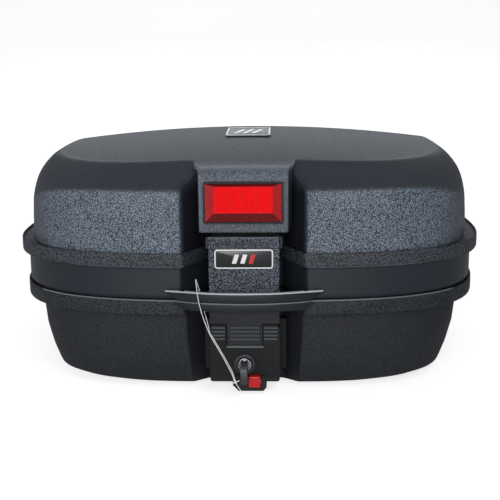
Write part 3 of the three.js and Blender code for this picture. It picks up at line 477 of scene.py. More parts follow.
def half_outline(hw, yf, yb, feats, lobe, nx=NX, ny=NY):
    """feats: pillar corner, floor corner 1, floor corner 2 (x, y); lobe: x of the lobe edge on the front curve."""
    F1, F2, F3 = [np.array(f, float) for f in feats]
    a0 = math.asin(min(1.0, (lobe / hw) ** (nx / 2)))
    a = np.linspace(a0, math.pi / 2, 500)
    D = np.stack([hw * np.sin(a) ** (2 / nx), YC - (YC - yf) * np.maximum(np.cos(a), 0) ** (2 / ny)], 1)
    D[0] = (lobe, front_y(lobe, hw, yf, nx, ny))
    D[-1] = (hw, YC)
    b = np.linspace(0, math.pi / 2, 400)
    E = np.stack([hw * np.maximum(np.cos(b), 0) ** (2 / NB), YC + (yb - YC) * np.sin(b) ** (2 / NB)], 1)
    E[-1] = (0, yb)
    F0 = np.array([0, F1[1]])
    seg = lambda p, q, t: p[None] + (q - p)[None] * np.asarray(t)[:, None]
    parts = [
        seg(F0, F1, ease(N_A, b=0.6)[:-1]),
        seg(F1, F2, ease(N_B, 0.8, 0.8)[:-1]),
        seg(F2, F3, ease(N_F)[:-1]),
        seg(F3, D[0], ease(N_C, 0.8, 0.8)[:-1]),
        resample(D, ease(N_D, a=0.72))[:-1],
        resample(E, ease(N_E)),
    ]
    return np.concatenate(parts)


def full_outline(half):
    m = half[1:-1][::-1].copy()
    m[:, 0] *= -1
    return np.concatenate([half, m])


def row(hw, yf, yb, feats, lobe, height, plan_sigma=2.0, nx=NX, ny=NY):
    P = full_outline(half_outline(hw, yf, yb, feats, lobe, nx, ny))
    S = smooth_closed(P, plan_sigma)
    S[0, 0] = 0
    f = np.clip(((YC - P[:, 1]) / (YC - yf) - 0.5) / 0.45, 0, 1)
    f = f * f * (3 - 2 * f)
    z = height(S[:, 0], S[:, 1], f) if callable(height) else np.full(len(P), float(height))
    return np.column_stack([S, z])


def flat_normals(P):
    """Outward plan normals of a closed outline that runs counter-clockwise from above."""
    t = np.roll(P, -1, 0) - np.roll(P, 1, 0)
    n = np.stack([t[:, 1], -t[:, 0]], 1)
    return n / np.maximum(np.linalg.norm(n, axis=1), 1e-9)[:, None]


def inset(P, d, z=None):
    Q = P.copy()
    S = smooth_closed(P[:, :2], 2.5) if d > 1.5 else P[:, :2]
    Q[:, :2] -= flat_normals(S) * d
    if z is not None:
        Q[:, 2] = z
    return Q


def grid_faces(R, C, close_rows=False):
    f = []
    rr = R if close_rows else R - 1
    for i in range(rr):
        a, b = i * C, ((i + 1) % R) * C
        for j in range(C):
            k = (j + 1) % C
            f.append((a + j, a + k, b + k, b + j))
    return f


def grid_normals(Gd):
    du = np.roll(Gd, -1, 1) - np.roll(Gd, 1, 1)
    dv = np.zeros_like(Gd)
    dv[1:-1] = Gd[2:] - Gd[:-2]
    dv[0] = Gd[1] - Gd[0]
    dv[-1] = Gd[-1] - Gd[-2]
    n = np.cross(du, dv)
    return n / np.maximum(np.linalg.norm(n, axis=2), 1e-9)[..., None]


def smooth_columns(Gd, sigma, weight=None):
    out = np.empty_like(Gd)
    for j in range(Gd.shape[1]):
        out[:, j] = smooth_open(Gd[:, j], sigma, 0.4)
    if weight is None:
        return out
    return Gd * (1 - weight) + out * weight


# =====================================================================  dome of the lid
CROWN = 282.0


def crown(x, y):
    back = 16 * (np.maximum(y - YC, 0) / 100) ** 2
    fr = 22 * (np.maximum(YC - y, 0) / 210) ** 2
    return CROWN - 15 * (x / 232) ** 2 - fr - back


#          hw     yf      yb    z side  z front
LEVELS = np.array(
    [
        [275.0, -206.0, 205.0, 158.4, 158.4],
        [275.0, -206.0, 205.0, 166.0, 166.0],
        [273.4, -203.5, 204.0, 207.0, 229.0],
        [271.2, -194.6, 203.0, 222.0, 234.0],
        [266.8, -185.7, 200.0, 235.5, 239.2],
        [259.5, -176.8, 194.0, 247.0, 244.5],
        [250.5, -167.9, 185.0, 256.5, 249.7],
        [242.5, -159.0, 174.0, 262.0, 255.0],
        [234.5, -150.0, 160.0, 266.7, 260.0],
    ]
)
PILLAR = np.array(
    [  # z, half width at the face, face y, half width at the root, root y
        [182.5, 49.5, -199.5, 52.0, -160.0],
        [243.0, 49.5, -199.5, 52.0, -160.0],
        [248.5, 49.7, -198.2, 52.5, -158.0],
        [253.0, 50.7, -194.5, 53.5, -156.0],
        [256.2, 52.3, -188.0, 55.0, -152.0],
        [258.0, 54.3, -178.0, 57.0, -150.0],
        [258.9, 56.5, -164.0, 58.5, -149.8],
        [260.0, 58.0, -150.1, 59.5, -149.8],
    ]
)
FLOOR2 = np.array([53.2, -169.0])
LOBE_X, LOBE_Y = 70.5, -203.5


def level(s):
    i = min(int(s), len(LEVELS) - 2)
    t = s - i
    L = LEVELS[i] * (1 - t) + LEVELS[i + 1] * t
    # the sides round smoothly between the levels
    if s > 2:
        xs = np.arange(2, 9)
        for k in (0, 2, 3):
            ys = LEVELS[2:, k]
            m = np.gradient(ys)
            j = min(int(s) - 2, 5)
            u = s - 2 - j
            h00, h10 = 2 * u**3 - 3 * u**2 + 1, u**3 - 2 * u**2 + u
            h01, h11 = -2 * u**3 + 3 * u**2, u**3 - u**2
            L[k] = h00 * ys[j] + h10 * m[j] + h01 * ys[j + 1] + h11 * m[j + 1]
    return L


def pillar(z):
    return [np.interp(z, PILLAR[:, 0], PILLAR[:, k]) for k in range(1, 5)]


def upper_feats(z, hw, yf):
    """Pillar corner, the two corners of the groove's floor and the lobe edge at height z."""
    w0, y0, w1, y1 = pillar(z)
    slope = (LOBE_X - FLOOR2[0]) / (FLOOR2[1] - LOBE_Y)  # flank, x per unit of -y
    # flank against the front curve
    x = LOBE_X
    for _ in range(20):
        x = FLOOR2[0] + slope * (FLOOR2[1] - front_y(x, hw, yf))
    yx = front_y(x, hw, yf)
    if yx < FLOOR2[1] - 0.5:
        fl = (FLOOR2[0], FLOOR2[1])
        # pillar side down to the floor
        t = (FLOOR2[1] + 1 - y0) / (y1 - y0)
        t = min(max(t, 0.0), 1.0)
        p1 = (min(w0 + (w1 - w0) * t, FLOOR2[0] - 1.0), min(max(FLOOR2[1] + 1, y0 + 0.5), 0))
        return [(w0, y0), p1, fl], x
    # no groove left: the pillar's side runs straight into the slope
    yy = front_y(w1, hw, yf)
    top = max(w1, w0 + 0.6)
    return [(w0, min(y0, yy)), (top, yy), (top + 0.8, front_y(top + 0.8, hw, yf))], top + 1.8


LOW_FEATS = [(30.0, -149.3), (38.0, -149.3), (45.0, -149.3)]
LOW_LOBE = 70.5
rows = []


def blend_feats(A, B, m):
    return [tuple(np.array(a) * (1 - m) + np.array(b) * m) for a, b in zip(A, B)]


def dome_row(zf, zs, hw, yf, yb, m=None, crown_mix=0.0):
    up, lx = upper_feats(zf, hw, yf)
    if m is not None:
        feats, lobe = blend_feats(LOW_FEATS, up, m), LOW_LOBE * (1 - m) + lx * m
    else:
        feats, lobe = up, lx

    def height(x, y, f):
        z = zs + (zf - zs) * f
        if crown_mix:
            z = z * (1 - crown_mix) + crown(x, y) * crown_mix
        return z

    return row(hw, yf, yb, feats, lobe, height, 1.7)


for z in (158.4, 159.4, 160.6, 162.5, 165, 168, 171, 174, 177, 179, 180.5, 181.6, 182.2, 182.5):
    t = (z - 166) / 63 if z > 166 else 0
    L = LEVELS[1] * (1 - t) + LEVELS[2] * t
    rows.append(dome_row(z, z, L[0], L[1], L[2], 0.0))
for i in range(1, 14):
    t = (182.5 - 166) / 63
    L = LEVELS[1] * (1 - t) + LEVELS[2] * t
    rows.append(dome_row(182.5, 182.5 + i * 0.12, L[0], L[1], L[2], i / 13))
for z in (182.8, 183.4, 184.4, 186, 189, 194, 200, 206, 212, 217, 221, 224, 226, 227.6, 229):
    t = (z - 166) / 63
    L = LEVELS[1] * (1 - t) + LEVELS[2] * t
    zs = 184.06 + (207 - 184.06) * (z - 182.5) / 46.5
    rows.append(dome_row(z, zs, L[0], L[1], L[2]))
S_ROWS = [2.12, 2.25, 2.4, 2.6, 2.8, 3, 3.25, 3.5, 3.75, 4, 4.2, 4.4, 4.6, 4.8, 5, 5.2, 5.4, 5.6, 5.8, 6, 6.15, 6.3, 6.45, 6.6, 6.75, 6.9, 7, 7.08, 7.16, 7.24, 7.32, 7.4, 7.48, 7.55, 7.62, 7.68, 7.74, 7.8, 7.85, 7.9, 7.94, 7.97, 8.0]
for s in S_ROWS:
    L = level(s)
    mix = max(0.0, (s - 6.5) / 1.5)
    mix = mix * mix * (3 - 2 * mix)
    rows.append(dome_row(L[4], L[3], L[0], L[1], L[2], None, mix))
crease = rows[-1]
for k in (0.985, 0.965, 0.94, 0.9, 0.85, 0.8, 0.74, 0.68, 0.61, 0.54, 0.46, 0.38, 0.3, 0.22, 0.14, 0.07, 0.02):
    Q = crease.copy()
    Q[:, 0] *= k
    Q[:, 1] = 20 + (Q[:, 1] - 20) * k
    Q[:, 2] = crown(Q[:, 0], Q[:, 1])
    rows.append(Q)
D = np.array(rows)
# fillets along the height: tight under the pillar, softer on the creases
soft = smooth_columns(D, 2.2)
hard = smooth_columns(D, 1.1)
wz = np.clip((D[..., 2] - 190) / 20, 0, 1)[..., None]
D_out = hard * (1 - wz) + soft * wz
D_out[0] = D[0]
D_out[-1] = D[-1]
nrm = grid_normals(np.array([smooth_closed(r, 4.0) for r in smooth_columns(D, 4.0)]))
D_in = D_out - nrm * 3.0
D_in[0] = inset(D_out[0], 3.0)
keep = [0] + list(range(3, len(D_in), 2))
D_in = D_in[keep]
D_in[:, :, 2] = np.minimum(D_in[:, :, 2], D_out[keep][:, :, 2])
R, C = D_out.shape[:2]
Ri = D_in.shape[0]
V = np.concatenate([D_out.reshape(-1, 3), D_in.reshape(-1, 3)])
top_o, top_i = D_out[-1].mean(0), D_in[-1].mean(0)
V = np.concatenate([V, [top_o + (0, 0, 0.0)], [top_i]])
F = grid_faces(R, C)
off = R * C
F += [tuple(reversed([off + q for q in f])) for f in grid_faces(Ri, C)]
for j in range(C):
    k = (j + 1) % C
    F.append((j, off + j, off + k, k))
    F.append(((R - 1) * C + j, (R - 1) * C + k, len(V) - 2))
    F.append((off + (Ri - 1) * C + k, off + (Ri - 1) * C + j, len(V) - 1))
lid = obj_from("lid_dome", M(V), F, "lobe", "lid", ("lid_shell",))
co = np.array([v.co[:] for v in lid.data.vertices]) * 1000.0
co[:, 2] -= G
X_, Y_, Z_ = np.abs(co[:, 0]), co[:, 1], co[:, 2]
sm = lambda a, b, v: np.clip((v - a) / (b - a), 0, 1) ** 2 * (3 - 2 * np.clip((v - a) / (b - a), 0, 1))
fr = np.clip(((YC - Y_) / (YC + 203.5) - 0.5) / 0.45, 0, 1)
fr = fr * fr * (3 - 2 * fr)
crease_z = 207 + 22 * fr
# the 'face' attribute sets the lighter, coarser skin; it is cut back towards the sides and on the pillar face, most
# towards the pillar's foot, which darkens them
face = 1 - sm(-3.0, 3.5, Z_ - crease_z)
on_pillar = (X_ < 50.8 + 0.55 * np.maximum(Z_ - 248, 0)) & (Y_ < -152)
face = np.where(on_pillar, 1 - sm(252, 259, Z_), face)
face *= 1 - 0.55 * sm(215, 262, X_)
face = np.where(on_pillar & (Y_ < -190), face * (0.58 - 0.18 * (1 - sm(190, 205, Z_))), face)
# painted shade: flanks and floor of the grooves, and the recess below the pillar, which the 'groove' attribute darkens
lobe_line = 70.5 + 4.0
gv = sm(0.0, 9.0, lobe_line - X_) * sm(0.5, 3.5, X_ - 48.6) * sm(0.0, 3.0, Y_ + 204.6) * (1 - sm(224, 246, Z_))
low = sm(0.0, 9.0, lobe_line - X_) * (1 - sm(181, 184, Z_)) * sm(0.0, 3.0, Y_ + 204.6)
groove = np.maximum(gv, low) * (Y_ < -100)
# painted highlights on rounded edges that catch the light: the head of the pillar, its left corner, more faintly its
# right corner, the tops of the lobes beside it
edge = np.zeros_like(Z_)
head = sm(249.5, 253.0, Z_) * (1 - sm(255.0, 257.8, Z_)) * (1 - sm(46, 58, X_)) * (Y_ < -175)
edge = np.maximum(edge, 0.34 * head)
left_corner = (1 - sm(0.0, 3.2, np.abs(co[:, 0] + 48.6))) * (Y_ < -196) * sm(183, 190, Z_) * (1 - sm(246, 250, Z_))
edge = np.maximum(edge, 0.22 * left_corner)
right_corner = (1 - sm(0.0, 3.2, np.abs(co[:, 0] - 48.6))) * (Y_ < -196) * sm(183, 190, Z_) * (1 - sm(246, 250, Z_))
edge = np.maximum(edge, 0.10 * right_corner)
bright = sm(195, 226, Z_) * (1 - sm(-2, 4, Z_ - crease_z)) * sm(72, 84, X_) * (1 - sm(110, 190, X_)) * (Y_ < -150)
edge = np.maximum(edge, 0.10 * bright)
for k, vals in (("face", face), ("groove", groove), ("edge", edge)):
    at_ = lid.data.attributes.new(k, "FLOAT", "POINT")
    at_.data.foreach_set("value", vals.astype(np.float32))


# =====================================================================  lid ring and tub
def loop_piece(name, sections, mat, body, replaces, sigma=0.35):
    """A closed band: sections run round its cross-section and every section is an outline."""
    A = np.array(sections)
    out = np.empty_like(A)
    for j in range(A.shape[1]):
        out[:, j] = smooth_closed(A[:, j], sigma, 0.15)
    return obj_from(name, M(out.reshape(-1, 3)), grid_faces(*out.shape[:2], close_rows=True), mat, body, replaces)


def simple(hw, yf, yb, floor_x, floor_y, lobe, z, sigma=2.0, nx=NX, ny=NY):
    return row(hw, yf, yb, [(floor_x * 0.6, floor_y), (floor_x * 0.85, floor_y), (floor_x, floor_y)], lobe, z, sigma, nx, ny)


LIPO = simple(290, -210, 210, 40, -153.5, 67.5, 0)
BANDO = simple(282, -206.5, 203, 42.5, -149.8, 70.5, 0)
BANDI = simple(279, -203.5, 200, 47, -146.6, 74, 0)
TONGO = simple(278.4, -203.2, 202, 44.5, -146.3, 70, 0)
TONGI = simple(275.4, -200.2, 199, 49.5, -143, 73.5, 0)
UPST = simple(270.8, -202, 201, 49.5, -145, 76, 0)
UPSTI = simple(267.8, -199.2, 198.2, 53.5, -142.8, 79.5, 0)


def at(P, d, z):
    return inset(P, d, z) if d else np.column_stack([P[:, :2], np.full(len(P), float(z))])


def mixed(P, Q, t, z):
    A = P * (1 - t) + Q * t
    A[:, 2] = z
    return A


ring = [
    at(TONGI, 0, 105), at(TONGI, 0, 101.6), mixed(TONGI, TONGO, 0.2, 101), mixed(TONGI, TONGO, 0.8, 101), at(TONGO, 0, 101.6),
    at(TONGO, 0, 105), at(TONGO, 0, 107.6), mixed(TONGO, BANDO, 0.08, 108.4), mixed(TONGO, BANDO, 0.8, 108.4), at(BANDO, 0, 109.2),
    at(BANDO, 0, 114), at(BANDO, 0, 122), at(BANDO, 0, 130), at(BANDO, 0, 137), at(BANDO, 0, 141.5), at(BANDO, 0, 143.6), mixed(BANDO, LIPO, 0.1, 144.5), mixed(BANDO, LIPO, 0.35, 144.5),
    mixed(BANDO, LIPO, 0.6, 144.4), at(LIPO, 1.9, 144.5), at(LIPO, 0.9, 144.7), at(LIPO, 0.25, 145.4), at(LIPO, 0, 146.4), at(LIPO, 0, 150), at(LIPO, 0, 154), at(LIPO, 0, 159.2),
    at(LIPO, 0.35, 160.4), at(LIPO, 1.0, 161), at(LIPO, 1.8, 160.9), at(LIPO, 2.5, 160.2), at(LIPO, 2.8, 159.3),
    at(LIPO, 3.2, 158.2), at(LIPO, 4.6, 158), mixed(LIPO, UPST, 0.55, 158), mixed(LIPO, UPST, 0.92, 158), at(UPST, 0, 158.9), at(UPST, 0, 162), at(UPST, 0, 165.4),
    mixed(UPST, UPSTI, 0.2, 166), mixed(UPST, UPSTI, 0.8, 166), at(UPSTI, 0, 165.4), at(UPSTI, 0, 158), at(UPSTI, 0, 150), at(UPSTI, 0, 145.5),
    mixed(UPSTI, BANDI, 0.5, 143), at(BANDI, 0, 140.5), at(BANDI, 0, 126), at(BANDI, 0, 113), mixed(BANDI, TONGI, 0.6, 110.6), at(TONGI, 0, 108.4),
]
lid_ring = loop_piece("lid_frame_ring", ring, ["band", "lip", "edge2"], "lid", ("lid_ring",))
# the lip carries the same grain as the dome, the band below it is smooth
for p in lid_ring.data.polygons:
    zc = p.center[2] * 1000 - G
    p.material_index = 1 if zc > 144.3 else 0
    # painted highlight: a light strip along the lip's lower front edge
    if 144.6 < zc < 145.5 and p.center[1] < -0.15 and 0.07 < abs(p.center[0]) < 0.2 and p.normal[1] < -0.3:
        p.material_index = 2

TUB = np.array(
    [  # z, hw, yf, yb, lobe, nx, ny
        [0.0, 210.0, -174.0, 184.0, 61.0, 4.4, 4.6],
        [3.5, 231.0, -179.0, 190.0, 61.0, 4.4, 4.6],
        [10.0, 244.5, -187.5, 194.0, 62.0, 4.4, 4.6],
        [30.0, 253.0, -194.5, 198.0, 63.0, 4.0, 4.4],
        [54.0, 261.0, -198.5, 200.0, 65.0, 3.6, 4.2],
        [88.0, 267.5, -202.0, 202.0, 66.0, NX, NY],
    ]
)
RIMO = simple(284.4, -209, 208, 41, -153, 67.0, 0)


def tub_row(z, d=0.0):
    hw, yf, yb, lobe, nx, ny = [np.interp(z, TUB[:, 0], TUB[:, k]) for k in range(1, 7)]
    return simple(hw, yf, yb, 43.5, -157.5 if z > 2.5 else -160.5 + z * 1.2, lobe, z, 2.0, nx, ny)


trows = []
b = tub_row(0)
for k in (0.02, 0.15, 0.35, 0.55, 0.75, 0.88, 0.95, 0.985):
    Q = b.copy()
    Q[:, 0] *= k
    Q[:, 1] = 10 + (Q[:, 1] - 10) * k
    trows.append(Q)
for z in (0, 0.5, 1.2, 2.2, 3.5, 5, 6.6, 8.4, 10, 12.5, 16, 20, 25, 30, 36, 42, 48, 54, 62, 70, 76, 82, 86):
    trows.append(tub_row(z))
t88 = tub_row(88)
trows += [at(t88, 0, 88.6), mixed(t88, RIMO, 0.12, 89.5), mixed(t88, RIMO, 0.4, 89.5), mixed(t88, RIMO, 0.7, 89.5), at(RIMO, 1.2, 89.5), at(RIMO, 0.5, 89.8), at(RIMO, 0.1, 90.6), at(RIMO, 0, 92), at(RIMO, 0, 96), at(RIMO, 0, 100), at(RIMO, 0, 104), at(RIMO, 0, 106.6), at(RIMO, 0.3, 107.6), at(RIMO, 0.9, 108), at(RIMO, 1.9, 108), at(RIMO, 2.5, 107.6), at(RIMO, 2.8, 106.6), at(RIMO, 2.8, 102), at(RIMO, 2.8, 97.6), at(RIMO, 3.4, 97)]
T = np.array(trows)
T = smooth_columns(T, 0.55)
n_out = len(T)
inner = [at(t88, 3, 97), at(t88, 3, 90)]
for z in (80, 70, 60, 50, 40, 30, 20, 12, 7, 4.5):
    inner.append(inset(tub_row(z), 3.0))
b3 = inset(tub_row(3.2), 4.5)
for k in (1.0, 0.97, 0.9, 0.75, 0.5, 0.25, 0.02):
    Q = b3.copy()
    Q[:, 0] *= k
    Q[:, 1] = 10 + (Q[:, 1] - 10) * k
    Q[:, 2] = 3.2
    inner.append(Q)
I = smooth_columns(np.array(inner), 0.8)
A = np.concatenate([T, I])
R, C = A.shape[:2]
V = A.reshape(-1, 3)
V = np.concatenate([V, [A[0].mean(0)], [A[-1].mean(0)]])
F = grid_faces(R, C)
for j in range(C):
    k = (j + 1) % C
    F.append((k, j, len(V) - 2))
    F.append(((R - 1) * C + j, (R - 1) * C + k, len(V) - 1))
tub = obj_from("base_tub", M(V), F, ["base", "rim", "edge2"], "base", ("base_shell",))
for p in tub.data.polygons:
    zc = p.center[2] * 1000 - G
    p.material_index = 1 if zc > 89.2 else 0
    # painted highlight: a light strip along the rim's top front edge, beside the handle
    if 106.9 < zc < 108.2 and p.center[1] < -0.15 and abs(p.center[0]) > 0.064 and p.normal[1] < -0.2:
        p.material_index = 2

seal = inset(RIMO, 4.0, 0)
loop_piece(
    "seal_ring",
    [at(seal, 0, 97.4), at(seal, 0, 99.2), at(seal, 1.2, 100.3), at(seal, 2.4, 100.6), at(seal, 3.8, 100.3), at(seal, 5.0, 99.2), at(seal, 5.0, 97.4), at(seal, 2.5, 97.35)],
    "rubber", "base", ("rim_seal",), 0.25,
)

# =====================================================================  front fittings
def rounded_poly(P, r, n=5):
    """Closed polygon with its corners rounded; r is one radius, or one for each corner."""
    P = [np.array(p, float) for p in P]
    out = []
    for i, p in enumerate(P):
        a, b = P[i - 1], P[(i + 1) % len(P)]
        ri = r[i] if isinstance(r, (list, tuple)) else r
        if ri <= 0:
            out.append(p)
            continue
        u, v = a - p, b - p
        lu, lv = np.linalg.norm(u), np.linalg.norm(v)
        u, v = u / lu, v / lv
        half = math.acos(max(-1.0, min(1.0, float(u @ v)))) / 2
        d = min(ri / math.tan(half), lu * 0.48, lv * 0.48)
        rr = d * math.tan(half)
        c = p + (u + v) / np.linalg.norm(u + v) * rr / math.sin(half)
        t0, t1 = p + u * d - c, p + v * d - c
        a0, a1 = math.atan2(t0[1], t0[0]), math.atan2(t1[1], t1[0])
        da = (a1 - a0 + math.pi) % (2 * math.pi) - math.pi
        for k in range(n + 1):
            out.append(c + rr * np.array([math.cos(a0 + da * k / n), math.sin(a0 + da * k / n)]))
    return np.array(out)


def offset_poly(P, d):
    """The outline of a counter-clockwise polygon moved inwards by d."""
    e = np.roll(P, -1, 0) - P
    e = e / np.maximum(np.linalg.norm(e, axis=1), 1e-9)[:, None]
    n = np.stack([-e[:, 1], e[:, 0]], 1)
    m = n + np.roll(n, 1, 0)
    m = m / np.maximum(np.linalg.norm(m, axis=1), 1e-9)[:, None]
    return P + m * (d / np.maximum((m * n).sum(1), 0.35))[:, None]


class Build:
    """Gathers closed shells into one piece, each face with its material number."""

    def __init__(self):
        self.v, self.f, self.m = [], [], []

    def add(self, verts, faces, mat=0):
        o = len(self.v)
        self.v += [tuple(float(c) for c in p) for p in verts]
        self.f += [tuple(int(i) + o for i in f) for f in faces]
        self.m += [mat] * len(faces)

    def loft(self, sections, mat=0, cap=True):
        """Sections are closed loops of 3-D points with the same count."""
        A = np.asarray(sections, float)
        F = grid_faces(A.shape[0], A.shape[1])
        if cap:
            n = A.shape[1]
            F = F + [tuple(range(n))[::-1], tuple(range((A.shape[0] - 1) * n, A.shape[0] * n))]
        self.add(A.reshape(-1, 3), F, mat)

    def plate(self, P, y0, y1, r=0.5, k=3, mat=0, place=None):
        """A plate drawn in X-Z from y1 to its front face y0, the front edge rounded by r."""
        P = np.asarray(P, float)
        secs = []
        sign = 1 if y1 > y0 else -1
        for q, y in [(P, y1)] + [(offset_poly(P, r * (1 - math.cos(a))), y0 + sign * r * (1 - math.sin(a))) for a in np.linspace(0, math.pi / 2, k + 1)]:
            S = np.column_stack([q[:, 0], np.full(len(q), y), q[:, 1]])
            secs.append(place(S) if place else S)
        self.loft(secs, mat)

    def frame(self, P, w, y0, y1, r=0.2, mat=0, place=None):
        """A flat ring of width w along the inside of outline P."""
        P = np.asarray(P, float)
        prof = [(0, y1), (0, y0 + r), (r, y0), (w - r, y0), (w, y0 + r), (w, y1)]
        if place and y1 < y0:
            prof = [(0, y1), (0, y0 - r), (r, y0), (w - r, y0), (w, y0 - r), (w, y1)]
        secs = []
        for d, y in prof:
            q = offset_poly(P, d)
            S = np.column_stack([q[:, 0], np.full(len(q), y), q[:, 1]])
            secs.append(place(S) if place else S)
        A = np.asarray(secs)
        self.add(A.reshape(-1, 3), grid_faces(A.shape[0], A.shape[1], close_rows=True), mat)

    def tube(self, path, r, n=8, mat=0):
        """A round wire along a list of points."""
        P = np.asarray(path, float)
        T = np.gradient(P, axis=0)
        T /= np.maximum(np.linalg.norm(T, axis=1), 1e-9)[:, None]
        up = np.array([0.13, 1.0, 0.21])
        up /= np.linalg.norm(up)
        u = up - T[0] * (up @ T[0])
        secs = []
        for p, t in zip(P, T):
            u = u - t * (u @ t)
            u /= np.linalg.norm(u)
            v = np.cross(t, u)
            a = np.arange(n) * 2 * math.pi / n
            secs.append(p + r * (np.cos(a)[:, None] * u + np.sin(a)[:, None] * v))
        self.loft(secs, mat)

    def make(self, name, mats, body, replaces=(), angle=35):
        me = bpy.data.meshes.new(name)
        me.from_pydata([tuple(q) for q in M(np.array(self.v))], [], self.f)
        for p, k in zip(me.polygons, self.m):
            p.material_index = k
        bm = bmesh.new()
        bm.from_mesh(me)
        bmesh.ops.remove_doubles(bm, verts=bm.verts, dist=2e-6)
        bmesh.ops.recalc_face_normals(bm, faces=bm.faces)
        bm.to_mesh(me)
        bm.free()
        return finish_obj(name, me, mats, body, replaces, True, angle)


def spline(points, per=8):
    """Catmull-Rom curve through the points."""
    P = np.asarray(points, float)
    E = np.vstack([2 * P[0] - P[1], P, 2 * P[-1] - P[-2]])
    out = []
    for i in range(1, len(E) - 2):
        for k in range(per):
            t = k / per
            a, b, c, d = E[i - 1 : i + 3]
            out.append(0.5 * (2 * b + (c - a) * t + (2 * a - 5 * b + 4 * c - d) * t**2 + (3 * b - a - 3 * c + d) * t**3))
    out.append(P[-1])
    return np.array(out)


def rect(hx, z0, z1, r, n=6, cx=0.0):
    return rounded_poly([(cx - hx, z0), (cx + hx, z0), (cx + hx, z1), (cx - hx, z1)], r, n)


# ---- reflector: a raised ribbed field with sloping borders
def lens_piece():
    xs = np.unique(np.round(np.concatenate([np.linspace(-41.8, -32.4, 21), np.linspace(-32.4, 32.4, 34 * 6 + 1), np.linspace(32.4, 41.8, 21)]), 5))
    zs = np.unique(np.round(np.concatenate([np.linspace(195.6, 205.6, 17), np.linspace(205.6, 234.8, 41), np.linspace(234.8, 237.4, 6)]), 5))
    X, Z = np.meshgrid(xs, zs)
    side = np.maximum((np.abs(X) - 32.4) / 9.4, 0)
    low = np.maximum((205.6 - Z) / 10.0, 0)
    top = np.maximum((Z - 234.8) / 2.6, 0)
    out = np.maximum.reduce([side, low, top])
    pitch = 64.8 / 34
    field = 0.24 * (0.5 - 0.5 * np.cos(2 * math.pi * (X + 32.4) / pitch))
    ribs = 0.16 * (0.5 - 0.5 * np.cos(2 * math.pi * Z / 1.6)) * (side >= np.maximum(low, top)) * np.minimum(1, side * 8) * np.minimum(1, (1 - side) * 8)
    Y = np.where(out <= 0, -206.0 + field, -206.0 + 2.4 * out + ribs)
    Y = np.where((out <= 0) & ((np.abs(np.abs(X) - 32.4) < 1e-6) | (np.abs(Z - 205.6) < 1e-6) | (np.abs(Z - 234.8) < 1e-6)), -206.0, Y)
    nz, nx = X.shape
    V = np.stack([X, Y, Z], 2).reshape(-1, 3)
    F, Mi = [], []
    for i in range(nz - 1):
        for j in range(nx - 1):
            F.append((i * nx + j, i * nx + j + 1, (i + 1) * nx + j + 1, (i + 1) * nx + j))
            xc, zc = (xs[j] + xs[j + 1]) / 2, (zs[i] + zs[i + 1]) / 2
            du, dl, dt = (abs(xc) - 32.4) / 9.4, (205.6 - zc) / 10.0, (zc - 234.8) / 2.6
            Mi.append(0 if abs(xc) < 32.4 and 205.6 < zc < 234.8 else 2 if du > max(dl, dt) else 1)
    rim = [j for j in range(nx)] + [i * nx + nx - 1 for i in range(1, nz)] + [(nz - 1) * nx + j for j in range(nx - 2, -1, -1)] + [i * nx for i in range(nz - 2, 0, -1)]
    back = V[rim].copy()
    back[:, 1] = -201.7
    o = len(V)
    V = np.concatenate([V, back])
    n = len(rim)
    for k in range(n):
        q = (k + 1) % n
        F.append((rim[k], rim[q], o + q, o + k))
        Mi.append(1)
    F.append(tuple(o + k for k in range(n)))
    Mi.append(1)
    B = Build()
    B.v, B.f, B.m = [tuple(p) for p in V], F, Mi
    B.make("reflector_lens_ribbed", ["lens", "lensdark", "lensside"], "lid", ("reflector_lens",), 50)


lens_piece()

# ---- tray round the reflector
B = Build()
B.frame(rect(44, 193.4, 239.6, 2.2), 1.9, -203.7, -199.8, 0.5, 0)
B.plate(rect(42.2, 195.2, 237.8, 1.0), -201.2, -199.9, 0.1, 1, 0)
B.make("reflector_frame", ["fit"], "lid", ("reflector_tray",), 40)

# ---- badge on the flap: black plate, white border, plain slanted bars
def bars(B, cz, h, y0, y1, spec, place=None):
    for cx, w, m in spec:
        lean = h * 0.32
        B.plate(rounded_poly([(cx - w - lean, cz - h), (cx + w - lean, cz - h), (cx + w + lean, cz + h), (cx - w + lean, cz + h)], 0.5, 3), y0, y1, 0.08, 1, m, place)


B = Build()
B.plate(rect(32.6, 143, 165, 3.4), -204.0, -203.25, 0.15, 2, 0)
B.frame(rect(32.5, 143.1, 164.9, 3.3), 1.45, -204.2, -203.6, 0.12, 1)
bars(B, 154, 5.2, -204.15, -203.6, [(-9.2, 2.5, 1), (0, 2.5, 1), (9.2, 2.5, 2)])
B.make("flap_badge_plate", ["gloss", "white", "markred"], "flap", ("flap_badge",), 30)

# ---- badge on the crown, tilted with it
by, bz = -12.0, float(crown(0.0, -12.0)) + 0.4
bt = math.atan((float(crown(0.0, 22.0)) - float(crown(0.0, -46.0))) / 68)


def on_crown(S):
    """Plan-drawn points (x, height, along) laid on the tilted crown."""
    return np.column_stack([S[:, 0], by + S[:, 2] * math.cos(bt) - S[:, 1] * math.sin(bt), bz + S[:, 2] * math.sin(bt) + S[:, 1] * math.cos(bt)])


B = Build()
B.plate(rect(28, -34, 34, 4.0), 1.0, 0.0, 0.2, 2, 0, on_crown)
B.frame(rect(27.9, -33.9, 33.9, 3.9), 2.0, 1.2, 0.5, 0.12, 1, on_crown)
bars(B, 0, 17, 1.12, 0.5, [(-11, 2.6, 1), (0, 2.6, 1), (11, 2.6, 1)], on_crown)
B.make("lid_badge_plate", ["badgegrey", "silver"], "lid", ("lid_badge",), 30)

# ---- carry handle: an upper band that runs out into thin wings and a lower band standing slightly proud
def bow_out(x):
    return -210.6 - 18.6 * (1 - np.minimum(np.abs(x) / 88, 1) ** 2.2)


